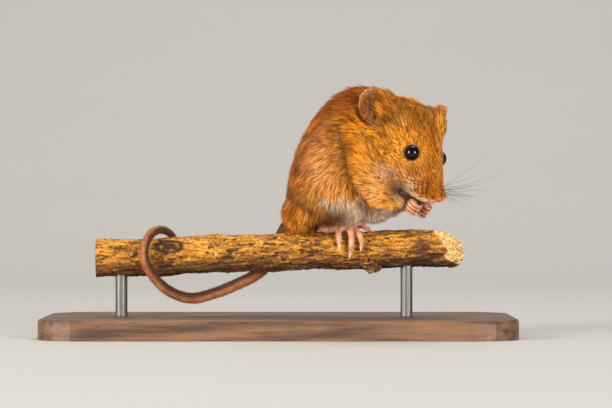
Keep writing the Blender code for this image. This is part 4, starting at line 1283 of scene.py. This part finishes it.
def make_nose():
    """The nose pad: a round body with a groove down its middle, sunk by 0.16 exp(-(aside / 0.12)²), and two
    slanted nostrils pressed in, each by 0.42 exp(-(aside / 0.17)² - (up / 0.20)²), with painted shade in
    them."""
    points, quads, tris = ball(from_head(NOSE_PAD), NOSE_PAD_RADII, HEAD_AXES, 64, 44)
    f, l, u = (to_head(points) - NOSE_PAD).T
    groove = 0.16 * np.exp(-((l / 0.12) ** 2)) * step(0.2, -0.5, u)
    hole = np.exp(-(((np.abs(l) - 0.50 + 0.2 * u) / 0.17) ** 2 + ((u + 0.02) / 0.20) ** 2))
    points = points - (groove + 0.42 * hole)[:, None] * HEAD_AXES[0] * (f > 0)[:, None]
    finish = flesh_material("nose_skin", (0.40, 0.17, 0.10), (0.64, 0.34, 0.22), 0.5, 2.0)
    # painted shade in the nostrils
    deep = np.clip(hole * 1.2, 0, 1)
    make_piece("nose_pad", (points, quads, tris), finish, "bare_skin", ("nose",), deep=deep)


def whisker_points(points):
    """Which points of the skin the whiskers leave from: for each root, the outermost point near the line
    through it that runs out of the pad."""
    found = []
    for side in SIDES.values():
        outwards = way_from_head(PAD_OUTWARDS, side)
        for root in from_head(whisker_roots().reshape(-1, 3), side):
            arm = points - root
            ahead = arm @ outwards
            aside = np.linalg.norm(arm - ahead[:, None] * outwards, axis=1)
            found.append(np.where((aside < ROOT_SEARCH) & (np.abs(ahead) < 2.5), ahead, -9.0).argmax())
    return np.array(found)


def make_whiskers(places, normals):
    """Long whiskers in rows on both pads, the hindmost of a row the longest, each from a small dark mound:
    tubes along root + length * (way t + 0.6 bend t²), of the radius 0.036 (1 - t)^0.7 + 0.006."""
    rng = np.random.default_rng(SEED + 1)
    sides = tuple(SIDES.values())
    t = np.linspace(0, 1, 12)[:, None]
    rise, radius = np.array(WHISKER_MOUND).T
    forms, tones, mounds = [], [], []
    order = np.ndindex(len(sides), WHISKER_ROWS, ROW_LENGTH)
    for (i, row, place), root, normal in zip(order, places, normals):
        side, back = sides[i], ROW_LENGTH - 1 - place
        length = (WHISKER_LENGTHS[0] + WHISKER_LENGTHS[1] * back) * rng.uniform(0.8, 1.1)
        way = np.array((0.30 - 0.14 * back, 0.95, 0.42 - 0.2 * row)) + rng.normal(0, 0.09, 3)
        way = way_from_head(way, side)
        bend = (np.array((-0.22, 0.05 * side, -0.12)) + rng.normal(0, 0.08, 3)) @ HEAD_AXES
        path = root - way * 0.2 + way * length * t + bend * length * t**2 * 0.6
        forms.append(tube(np.column_stack([path, 0.036 * (1 - t) ** 0.7 + 0.006]), 5))
        tones.append(np.full(len(forms[-1][0]), rng.uniform(0.2, 0.9)))
        mounds.append(tube(np.column_stack([root + normal * rise[:, None], radius]), 10))
    finish = hair_material("whisker", (0.10, 0.055, 0.03), (0.45, 0.33, 0.22), 0.35)
    make_piece("whiskers", together(forms), finish, "fur", tone=np.concatenate(tones), along=0.4)
    finish = flesh_material("whisker_root", (0.07, 0.012, 0.004), (0.13, 0.026, 0.007), 0.6)
    make_piece("whisker_mounds", together(mounds), finish, "bare_skin", deep=0.0)


# Ears


def ear_axes(side):
    """Directions out along the ear, the way it faces, and across it."""
    axis = way_from_head(EAR_AXIS, side)
    faces = way_from_head(EAR_FACES[side], side)
    faces = unit(faces - axis * (faces @ axis))
    return axis, faces, np.cross(faces, axis)


def ear_place(share, angle, side, lift):
    """A point of the ear: `share` of the way from its middle to its rim, `angle` round from its tip, lifted
    off its middle sheet by `lift`. The sheet is an oval, narrower at its root, sunk by cup * (1 - share²),
    and deepest in the hollow near the root."""
    axis, faces, across = ear_axes(side)
    lengthwise = EAR_MIDDLE + EAR_LENGTHS[side] / 2 * share * np.cos(angle)
    narrowing = 1 - EAR_NARROWING * np.clip(-np.cos(angle), 0, 1) ** 2
    sideways = EAR_WIDTH / 2 * share * np.sin(angle) * narrowing
    hollow = np.exp(-(((lengthwise - 2.2) / 1.7) ** 2 + ((sideways - 0.4) / 1.5) ** 2))
    ridge = np.exp(-(((sideways - 0.9 - 0.12 * lengthwise) / 0.5) ** 2))
    ridge = ridge * step(2.5, 4.0, lengthwise) * step(7.4, 6.0, lengthwise)
    sunk = EAR_CUP * (1 - share**2) + 0.7 * hollow - 0.35 * ridge
    off = lift - sunk + 0.12 * np.sin(5 * angle + 1.3) * share**3
    return (
        from_head(EAR_ROOTS[side], side)
        + lengthwise[..., None] * axis
        + sideways[..., None] * across
        + off[..., None] * faces
    )


def ear_form(side):
    """An ear as one closed sheet: its front rings run out to a rounded rim and its back rings return."""
    angle = np.linspace(0, 2 * np.pi, 96, endpoint=False)
    turn = np.radians(np.linspace(90, -90, 9))
    out = np.linspace(0.04, 0.94, 22)
    shares = np.r_[out, 0.94 + 0.06 * np.cos(turn), out[::-1]]
    lifts = np.r_[np.ones(22), np.sin(turn), -np.ones(22)] * EAR_THICKNESS / 2
    lifts = lifts * mixed(0.62, 1.0, step(0.2, 0.95, shares))
    return closed_rings(ear_place(shares[:, None], angle, side, lifts[:, None]))


def make_ears():
    """Each ear with short hairs on both faces, fur over its front rim and a tuft out of its hollow."""
    rng = np.random.default_rng(SEED + 2)
    finish = flesh_material("ear_skin", (0.10, 0.030, 0.012), (0.25, 0.10, 0.04), 0.65, 1.0)
    for word, side in SIDES.items():
        axis, _, across = ear_axes(side)
        form = ear_form(side)
        arm = form[0] - from_head(EAR_ROOTS[side], side)
        # painted shade in the hollow near the ear's root
        pit = np.exp(-(((arm @ axis - 1.6) / 1.3) ** 2 + ((arm @ across - 0.6) / 1.3) ** 2))
        deep = np.clip(pit * 1.1, 0, 1)
        make_piece(f"ear_cup_{word}", form, finish, "ear_skin", (f"ear_{word}",), deep=deep)
        make_ear_coat(word, side, form, rng)
        make_ear_tuft(word, side, rng)
        make_ear_fringe(word, side, rng)


def make_ear_coat(word, side, form, rng):
    """Short hairs on both faces of an ear, and finer, denser and paler ones along its rim."""
    axis, faces, across = ear_axes(side)
    start = from_head(EAR_ROOTS[side], side)
    points, quads, tris = form
    normals = normals_of(points, np.concatenate([tris, as_tris(quads)]))
    front = normals @ faces
    reach = np.linalg.norm((points - start) @ np.stack([axis, across]).T - (EAR_MIDDLE, 0), axis=1)
    in_front, behind, at_rim = EAR_DENSITY
    density = np.where(front < 0.2, behind, in_front) + at_rim * step(2.6, 3.3, reach)
    root, normal, front, reach = scattered(points, quads, normals, density, rng, front, reach)
    count = len(root)
    arm = root - start
    lie = flattened(unit(arm) + rng.normal(0, 0.22, (count, 3)), normal)
    length = mixed(1.5, 0.5, step(2.4, 3.4, reach)) * rng.uniform(0.5, 1.2, count)
    rim = step(3.1, 3.5, reach)
    inside = step(0.0, 0.4, front) * (1 - rim)
    ahead = step(-0.4, 1.4, side * (arm @ across))
    coat = free_tufts(
        root, normal, lie, length,
        height=length * rng.uniform(0.12, 0.5, count),
        width=rng.uniform(0.06, 0.1, count),
        bend=rng.normal(0, 0.06, count),
        tone=rng.uniform(0.2, 1.1, count),
        rust=mixed(0.55, 0.3, rim),
        cream=0.4 * rim * rng.uniform(0.3, 1.0, count) + 0.7 * inside * (rng.uniform(size=count) < 0.2),
        shade=inside * mixed(0.7, 0.2, ahead) * rng.uniform(0.4, 1.0, count),
    )
    #   the back of the ear lies in the map's left half and the front in its right half
    places = fitted(arm @ np.stack([axis, across]).T) * (0.5, 1.0)
    places = places + np.where(front > 0, 0.49, 0.01)[:, None] * (1, 0)
    make_tufts(f"ear_coat_{word}", coat, places, FUR, "ear_skin")


def make_ear_fringe(word, side, rng):
    """Fur of the head that covers the ear's front rim: it grows from the rim and lies back over the cup."""
    axis, faces, across = ear_axes(side)
    count = EAR_FRINGE_TUFTS
    angle = side * np.radians(rng.uniform(EAR_FRINGE_START[side], EAR_FRINGE_END, count))
    share = rng.uniform(0.66, 0.96, count)
    root = ear_place(share, angle, side, EAR_THICKNESS * 0.3)
    normal = unit(faces + rng.normal(0, 0.2, (count, 3)))
    lie = unit(axis - across * side * 0.25 + rng.normal(0, 0.10, (count, 3)))
    streak = streaks(root, lie, np.full(count, 0.8), 61)
    room = EAR_LENGTHS[side] - (root - from_head(EAR_ROOTS[side], side)) @ axis
    coat = free_tufts(
        root, normal, lie, rng.uniform(1.1, 2.2, count) * np.clip(room / 2.4, 0.2, 1),
        height=rng.uniform(0.2, 0.8, count),
        width=rng.uniform(0.08, 0.13, count),
        bend=rng.normal(0, 0.12, count),
        tone=np.clip(0.57 - 0.06 * side + 0.36 * streak + 0.2 * rng.normal(size=count), 0, 1),
        rust=np.full(count, 0.45 - 0.25 * side),
        cream=np.zeros(count),
        shade=np.zeros(count),
    )
    places = fitted(np.column_stack([angle, share]))
    make_tufts(f"ear_fringe_{word}", coat, places, FUR, "fur")


def make_ear_tuft(word, side, rng):
    """Longer yellow hairs in a narrow band, from the front of the ear's root out over its hollow."""
    axis, faces, across = ear_axes(side)
    count = EAR_TUFTS
    root = (
        from_head(EAR_ROOTS[side], side)
        + axis * rng.normal(1.3, 0.6, count)[:, None]
        + across * side * rng.normal(1.35, 0.3, count)[:, None]
        - faces * (EAR_CUP * 0.3)
    )
    lie = unit(axis - across * side * 0.34 + rng.normal(0, 0.12, (count, 3)))
    coat = free_tufts(
        root, np.repeat(faces[None], count, 0), lie, rng.uniform(1.6, 4.6, count),
        height=rng.uniform(-0.3, 0.5, count),
        width=rng.uniform(0.08, 0.14, count),
        bend=rng.normal(0, 0.25, count),
        tone=rng.uniform(0.35, 1.0, count),
        rust=rng.uniform(0.0, 0.4, count),
        cream=np.zeros(count),
        shade=0.8 * (rng.uniform(size=count) < 0.25),
    )
    places = fitted(root @ np.stack([axis, across]).T)
    make_tufts(f"ear_tuft_{word}", coat, places, FUR, "ear_skin")


# Hands and feet

LIMB_VOXEL, LIMB_ROUNDS = 0.1, 5  # as for the skin
FINGER_GAP = 0.14


def claw(base, tip, lift, radius):
    """A curved claw from its base to its tip, arched towards `lift` by 0.28 of its length times
    sin(0.8 pi t), and tapering as 1 - t^1.6."""
    t = np.linspace(0, 1, 9)[:, None]
    path = mixed(base, tip, t) + lift * (0.28 * np.linalg.norm(tip - base)) * np.sin(np.pi * t * 0.8)
    return tube(np.column_stack([path, radius * (1 - t**1.6) + 0.015]), 8)


def limb_surface(node):
    """A smooth surface round a hand's or a foot's node, with fine creases."""
    points, faces = surface_round((node,), 0.0, LIMB_VOXEL, LIMB_ROUNDS)
    lift = 0.025 * waves(points, 0.9, 41) + 0.012 * waves(points, 0.35, 42)
    lift = lift - 0.16 * between_fingers(points, node)
    return points + normals_of(points, faces) * lift[:, None], faces


def between_fingers(points, node):
    """1 on the lines between the fingers on the back of a hand, falling as exp(-(distance / gap)²)."""
    if not node.startswith("forepaw"):
        return np.zeros(len(points))
    _, l, u = to_head(points).T
    levels = PALM[2] + np.array(FINGER_LEVELS)
    lines = np.exp(-(((u[:, None] - (levels[1:] + levels[:-1]) / 2) / FINGER_GAP) ** 2)).sum(1)
    return lines * step(3.9, 3.0, np.abs(l))


def hollowness(points, faces):
    """How far each point lies sunk between its neighbours, from 0 to 1: its distance below a much smoothed
    surface."""
    below = ((relaxed(points, faces, 14) - points) * normals_of(points, faces)).sum(1)
    return step(0.0, 0.09, below)


def finger_claws(side):
    """A claw on from each finger's tip."""
    claws = []
    for level in FINGER_LEVELS:
        knuckle, end = np.array(PALM) + FINGER_END + (0.0, 0.0, level)
        tip = end + unit(end - knuckle) * 0.45
        away = way_from_head((1, -0.5, 0), side)
        claws.append(claw(from_head(end, side), from_head(tip, side), away, 0.12))
    return together(claws)


def toe_claws(side):
    """A claw on from each toe's tip, its base inside the toe."""
    claws = []
    for knuckle, end in (on_branch(rows, side) for rows in TOE_ENDS):
        tip = end + unit(end - knuckle) * 0.65
        away = unit(end * (0, 1, 1) - (0, 0, 17.0))
        claws.append(claw(mixed(knuckle, end, 0.7), tip, away, 0.19))
    return together(claws)


def make_hands_and_feet():
    """Bare skin with short hairs on the hands and feet, and their claws, with painted shade in the hollows
    and in the creases between the fingers. The far hand has painted shade all over.
    """
    skin = flesh_material("paw_skin", (0.45, 0.155, 0.078), (0.76, 0.37, 0.21), 0.5, 1.0)
    horn = flesh_material("claw_horn", (0.55, 0.36, 0.22), (0.85, 0.66, 0.48), 0.3, 1.0)
    hair = hair_material("paw_hair", (0.55, 0.32, 0.19), (0.88, 0.64, 0.42))
    rng = np.random.default_rng(SEED + 3)
    for word, side in SIDES.items():
        for limb in ("forepaw", "hindfoot"):
            node = f"{limb}_{word}"
            points, faces = limb_surface(node)
            # painted shade: all over the far hand, in the hollows and in the creases between the fingers
            shaded = 0.4 if node == "forepaw_left" else 0.0
            deep = hollowness(points, faces) + shaded + 0.7 * between_fingers(points, limb)
            deep = np.clip(deep, 0, 0.9)
            form = of_quads(points, faces)
            make_piece(f"{limb}_skin_{word}", form, skin, "bare_skin", (node,), deep=deep)
            make_limb_hair(f"{limb}_hair_{word}", limb, side, points, faces, hair, rng)
        make_piece(f"finger_claws_{word}", finger_claws(side), horn, "bare_skin", deep=0.0)
        make_piece(f"toe_claws_{word}", toe_claws(side), horn, "bare_skin", deep=0.0)


def make_limb_hair(name, limb, side, points, faces, finish, rng):
    """Short fine hairs on the back of a hand or foot, running towards the fingers or toes."""
    normals = normals_of(points, faces)
    x = points[:, 0]
    if limb == "forepaw":
        upper = 0.4 * step(-0.2, 0.4, normals @ way_from_head((0.6, 1.0, 0.2), side))
        run, seen = way_from_head((0.8, -0.6, -0.1), side), [0, 2]
    else:
        upper = step(-0.3, 0.3, normals[:, 2] + normals[:, 1] * side * 0.6)
        upper = upper * mixed(2.6, 1.0, step(9.0, 13.0, x))
        run, seen = unit(np.array((0.9, 0.35 * side, -0.35))), [0, 1]
    root, normal = scattered(points, faces, normals, 20.0 * upper, rng)
    count = len(root)
    lie = flattened(run + rng.normal(0, 0.15, (count, 3)), normal)
    length = rng.uniform(0.3, 0.65, count) * mixed(1.7, 1.0, step(9.0, 13.0, root[:, 0]))
    coat = free_tufts(
        root, normal, lie, length,
        height=length * rng.uniform(0.08, 0.3, count),
        width=rng.uniform(0.04, 0.07, count),
        bend=rng.normal(0, 0.05, count),
        tone=rng.uniform(0.2, 1.0, count),
    )
    make_tufts(name, coat, fitted(root[:, seen]), finish, "bare_skin")


# Tail


def inner_side(places, normals):
    """1 where the tail faces the middle of its loop, falling to 0 on its outer side."""
    return step(-0.1, 0.45, (normals * unit((TAIL_CENTRE - places) * (1, 0, 1))).sum(1))


def make_tail():
    """The tail as one tube with a ring of scales every TAIL_RING: the radius grows by 0.05 of itself as the
    share of the way along a ring to the power 0.7, then drops sharply to the next ring."""
    guide = np.array(TAIL)
    length = np.linalg.norm(np.diff(along(guide, 400)[:, :3], axis=0), axis=1).sum()
    rings_count = int(length / TAIL_RING)
    rows = along(guide, rings_count * 5 + 1)
    phase = np.linspace(0, rings_count, len(rows)) % 1.0
    scale = phase**0.7 * step(1.0, 0.86, phase)
    rows[:, 3] *= 0.965 + 0.05 * scale
    rows = rounded(rows)
    ways, across, up = carried_axes(rows[:, :3])
    angle = np.linspace(0, 2 * np.pi, 30, endpoint=False)
    ring = across[:, None] * np.cos(angle)[:, None] + up[:, None] * np.sin(angle)[:, None]
    radius = rows[:, 3:4] * (1 + 0.012 * np.cos(12 * angle))
    form = closed_rings(rows[:, None, :3] + ring * radius[..., None])
    #   the two last points are the middles of the ends
    normals = normals_of(form[0], form[1])[:-2]
    # painted shade in the gaps between the rings of scales and on the side that faces the middle of the loop
    gaps = np.repeat(step(0.35, 0.0, np.r_[np.zeros(4), scale, np.zeros(4)]), len(angle))
    deep = np.r_[np.clip(0.6 * gaps + 0.85 * inner_side(form[0][:-2], normals), 0, 1), 0, 0]
    finish = flesh_material("tail_skin", (0.28, 0.085, 0.024), (0.48, 0.17, 0.055), 0.6, 0.6, 0.1)
    nodes = tuple(f"tail_{i + 1}" for i in range(6))
    make_piece("tail_scales", form, finish, "tail_skin", nodes, deep=deep)
    make_tail_hair(rows, ways, across, up)


def make_tail_hair(rows, ways, across, up):
    """Short hairs that stand back from the tail's rings."""
    rng = np.random.default_rng(SEED + 4)
    count = TAIL_HAIRS
    share = rng.uniform(0.01, 0.985, count)
    place = hermite(np.linspace(0, 1, len(rows)), rows, share)
    index = (share * (len(ways) - 1)).astype(int)
    turn = rng.uniform(0, 2 * np.pi, count)[:, None]
    normal = unit(across[index] * np.cos(turn) + up[index] * np.sin(turn))
    length = rng.uniform(0.5, 1.0, count)
    coat = free_tufts(
        place[:, :3] + normal * place[:, 3:4] * 0.97, normal,
        unit(ways[index] + rng.normal(0, 0.08, (count, 3))), length,
        height=length * rng.uniform(0.1, 0.38, count),
        width=rng.uniform(0.035, 0.06, count),
        bend=rng.normal(0, 0.04, count),
        # painted shade on the hairs of the side that faces the middle of the loop
        tone=rng.uniform(0, 1, count) * (1 - 0.8 * inner_side(place[:, :3], normal)),
    )
    finish = hair_material("tail_hair", (0.14, 0.055, 0.02), (0.46, 0.22, 0.09))
    places = on_map(np.column_stack([turn[:, 0] / (2 * np.pi), share]))
    make_tufts("tail_hair", coat, places, finish, "tail_skin")


# Branch


def waves_on(places, size, seed, count=9):
    """Waves at rings of places."""
    return waves(places.reshape(-1, 3), size, seed, count).reshape(places.shape[:2])


def bark(axis, near, height, angle):
    """Rings along the branch's axis and how dark each of their points is: painted shade in the cracks, in
    the deepest furrows, in the scar's pit and along the underside, and darker rings round the scar and
    patches towards the broken end. The radius is the branch's own, plus slow sines round it and along it,
    plus three noises drawn out along it,
    less the cracks: the places where another noise is near 0. A scar where a twig fell off is pressed in,
    with a swollen rim."""
    share = np.linspace(0, 1, BRANCH_ROWS)[:, None]
    uneven = 0.10 * np.sin(3 * angle + 9 * share) + 0.08 * np.sin(5 * angle - 17 * share)
    uneven = uneven + 0.12 * np.sin(21 * share + 2 * np.cos(angle))
    x = axis[:, :1] + 0 * angle
    outwards = np.stack([0 * x, 0 * x - near, 0 * x + height], -1)
    place = outwards * BRANCH_RADIUS + x[..., None] * (1, 0, 0)
    drawn = place * (0.28, 1.0, 1.0)
    ridges = waves_on(drawn, 1.5, 51, 14)
    fine = waves_on(place * (0.5, 1.0, 1.0), 0.6, 52, 14)
    crack = np.exp(-((waves_on(drawn * (0.35, 1, 1), 2.2, 53, 12) / 0.07) ** 2))
    crack = crack * step(0.0, 0.6, waves_on(place, 9.0, 57))
    lift = 0.13 * ridges + 0.07 * fine - 0.24 * crack + 0.03 * waves_on(place, 0.35, 54, 16)
    radius = BRANCH_RADIUS - 0.14 + uneven + lift
    past, size, _ = BREAK_RINGS[0]
    moved = x + (past + BREAK_SLANT * (0.2 - height) * size) * step(x[-1, 0] - 9, x[-1, 0], x)
    rings = np.stack([moved, -radius * near, axis[:, 2:3] + radius * height], -1)

    scar = np.linalg.norm((rings - SCAR) / np.array(SCAR_RADII), axis=-1)
    swell = np.exp(-((np.maximum(scar - 1, 0) / 0.55) ** 2))
    pit = np.exp(-((scar / 0.75) ** 2))
    rings = rings + outwards * (0.42 * swell - 0.5 * pit + 0.10 * np.sin(14 * scar) * swell)[..., None]
    scar_rings = np.exp(-(((scar - 0.95) / 0.16) ** 2)) + 0.7 * np.exp(-(((scar - 0.5) / 0.1) ** 2))
    # painted shade in the cracks, along the underside, in the scar's pit and in the deepest furrows; the
    # scar's rings and the patches near the broken end are darker too
    below = step(0.35, -0.85, height + 0.16 * fine + 0.12 * ridges)
    deep = 0.9 * crack + 0.85 * below + scar_rings + pit + 0.6 * step(-0.9, -1.6, ridges)
    dark_end = step(-0.2, 0.9, waves_on(drawn, 2.6, 61, 12)) * step(18.5, 23.0, x)
    return rings, np.clip(deep + 0.6 * dark_end, 0, 1)


def broken_end(end, near, height, angle):
    """Rings past the axis's end. Each has its share of the radius plus 0.06 sin(7 angle) of it, and lies
    further out below than above, by sin(4 angle) and by noise."""
    splinter = waves(np.column_stack([0 * angle, near * 3.0, height * 3.0]), 1.1, 55)
    t = np.linspace(0, 1, BREAK_ROWS + 1)[1:]
    past, size, ragged = hermite(np.linspace(0, 1, len(BREAK_RINGS)), BREAK_RINGS, t).T[..., None]
    t = t[:, None]
    over = end[0] + past + BREAK_SLANT * (0.2 - height) * size + ragged * np.sin(4 * angle + 9 * size)
    over = over + 0.5 * ragged * splinter * (1 - np.abs(2 * t - 1))
    reach = BRANCH_RADIUS * (size + 0.06 * np.sin(7 * angle + 5 * size)) + 0.14 * splinter * t
    return np.stack([over, -reach * near, end[2] + reach * height], -1)


def broken_stub():
    """The stub below the branch, and its painted shade, a little all over and more in the pits: a tube with
    noise added to it and 0.42 |waves| taken off for the pits."""
    points, quads, tris = tube(rounded(along(STUB, 40)), 60)
    pits = np.abs(waves(points * (1.0, 1.0, 0.6), 1.3, 56))
    lift = 0.22 * waves(points, 2.2, 63) + 0.15 - 0.42 * pits + 0.12 * waves(points, 0.42, 62)
    points = points + normals_of(points, quads) * lift[:, None]
    return (points, quads, tris), np.clip(0.15 + 1.1 * pits, 0, 1)


def make_branch():
    """The branch, broken to pale splinters at one end and sawn at the other, with the stub below it."""
    axis = along(BRANCH_AXIS, BRANCH_ROWS)
    angle = np.linspace(0, 2 * np.pi, BRANCH_SIDES, endpoint=False)
    near, height = np.sin(angle), np.cos(angle)
    rings, deep = bark(axis, near, height, angle)
    rings = np.concatenate([rings[:-1], broken_end(axis[-1], near, height, angle)])
    deep = np.concatenate([deep[:-1], np.repeat(deep[-1:], BREAK_ROWS, 0)])
    at_end = np.r_[np.zeros(BRANCH_ROWS - 1), np.linspace(0, 1, BREAK_ROWS + 1)[1:]][:, None]
    ragged = waves_on(rings, 1.6, 60)
    wood = step(0.0, 0.12, at_end - 0.06 + 0.05 * ragged - 0.22 * step(-0.3, -0.8, height))
    chips = (0.22 * waves_on(rings, 1.1, 58, 14) + 0.12 * waves_on(rings, 0.5, 59, 14)) * wood
    form = closed_rings(rings)
    form[0][:-2] += normals_of(form[0], form[1])[:-2] * chips.reshape(-1, 1)
    stub, stub_deep = broken_stub()
    # painted shade and darker marks on the bark, none on the pale wood, and painted shade on the stub
    #   the two numbers between are for the middles of the ends
    deep = np.r_[(deep * (1 - wood)).ravel(), 0.0, 0.3, stub_deep]
    wood = np.r_[wood.ravel(), 1.0, 1.0, step(14.0, 13.2, stub[0][:, 2]) * 0.15]
    form = together([form, stub])
    make_piece("branch_bark", form, bark_material(), "bark", ("perch",), wood=wood, deep=deep)


# Stand, floor, light and camera


def finish_stand():
    """The stand keeps the model's own solids."""
    steel = steel_material()
    for node, finish in (
        ("stand_base", stand_wood_material()),
        ("stand_rod_left", steel),
        ("stand_rod_right", steel),
    ):
        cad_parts[node].data.materials.clear()
        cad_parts[node].data.materials.append(finish)


SWEEP_SIZE, SWEEP_BACK, SWEEP_BEND = 2.4, 0.35, 0.6  # in metres


def make_floor():
    """A pale sweep: a level floor that bends up behind the model into a wall."""
    made, tree, shader = new_material("floor", Roughness=0.7)
    shade = use_group(tree, UNEVEN, Scale=0.02, Middle=0.50, Range=0.02)["Value"]
    set_colour(tree, shader, grey(tree, shade))
    bend = np.radians(np.linspace(0, 90, 25))
    depth = np.r_[-SWEEP_SIZE, SWEEP_BACK + SWEEP_BEND * np.sin(bend), SWEEP_BACK + SWEEP_BEND]
    height = np.r_[0.0, SWEEP_BEND * (1 - np.cos(bend)), SWEEP_SIZE]
    rows = [np.column_stack([x + 0 * depth, depth, height]) for x in (-SWEEP_SIZE, SWEEP_SIZE)]
    first = np.arange(len(depth) - 1)
    after = first + len(depth)
    mesh = bpy.data.meshes.new("floor")
    mesh.from_pydata(np.concatenate(rows), [], np.stack([first, after, after + 1, first + 1], 1))
    mesh.shade_smooth()
    mesh.materials.append(made)
    floor = bpy.data.objects.new("floor", mesh)
    bpy.context.scene.collection.objects.link(floor)


LIGHT_TARGET, WORLD_STRENGTH = (16.0, -3.0, 32.0), 0.24
#   name, way to the light from the animal, distance, width, height, power in watts, colour
LIGHTS = (
    ("key", (-0.80, -0.56, 0.20), 0.75, 0.28, 0.36, 7.4, (1.0, 0.94, 0.84)),
    ("right", (0.57, -0.81, 0.14), 0.75, 0.26, 0.30, 6.0, (1.0, 0.95, 0.88)),
    ("top", (0.05, 0.30, 0.95), 0.80, 0.60, 0.60, 5.0, (1.0, 0.95, 0.88)),
)


def make_lights():
    """Three large lights, from the left, the right and above, and a dim even one from all round."""
    target = Vector(LIGHT_TARGET) * MM
    for name, way, distance, width, height, power, colour in LIGHTS:
        light = bpy.data.lights.new(name, "AREA")
        light.shape, light.size, light.size_y = "RECTANGLE", width, height
        light.energy, light.color = power, colour
        obj = bpy.data.objects.new(name, light)
        obj.location = target + Vector(way).normalized() * distance
        obj.rotation_euler = Vector(way).to_track_quat("Z", "Y").to_euler()
        bpy.context.scene.collection.objects.link(obj)
    world = bpy.data.worlds.new("studio")
    world.use_nodes = True
    world.node_tree.nodes["Background"].inputs["Color"].default_value = (1.0, 0.98, 0.95, 1.0)
    world.node_tree.nodes["Background"].inputs["Strength"].default_value = WORLD_STRENGTH
    bpy.context.scene.world = world


def make_camera():
    """A level camera that looks along +Y."""
    camera = bpy.data.cameras.new("camera")
    camera.sensor_width = SENSOR
    camera.lens = SENSOR * -CAMERA_PLACE[1] / VIEW_WIDTH
    camera.clip_start = 0.001
    obj = bpy.data.objects.new("camera", camera)
    obj.location = Vector(CAMERA_PLACE) * MM
    obj.rotation_euler = (math.radians(90), 0, 0)
    bpy.context.scene.collection.objects.link(obj)
    bpy.context.scene.camera = obj
    bpy.context.scene.view_settings.view_transform = "Standard"


make_camera()
make_lights()
make_floor()
finish_stand()
make_branch()
make_tail()
make_hands_and_feet()
make_eyes()
make_nose()
make_ears()
skin_points, skin_faces, skin_normals = make_skin()
whisker_index = whisker_points(skin_points)
make_coat(skin_points, skin_faces, skin_normals, skin_points[whisker_index])
make_whiskers(skin_points[whisker_index], skin_normals[whisker_index])
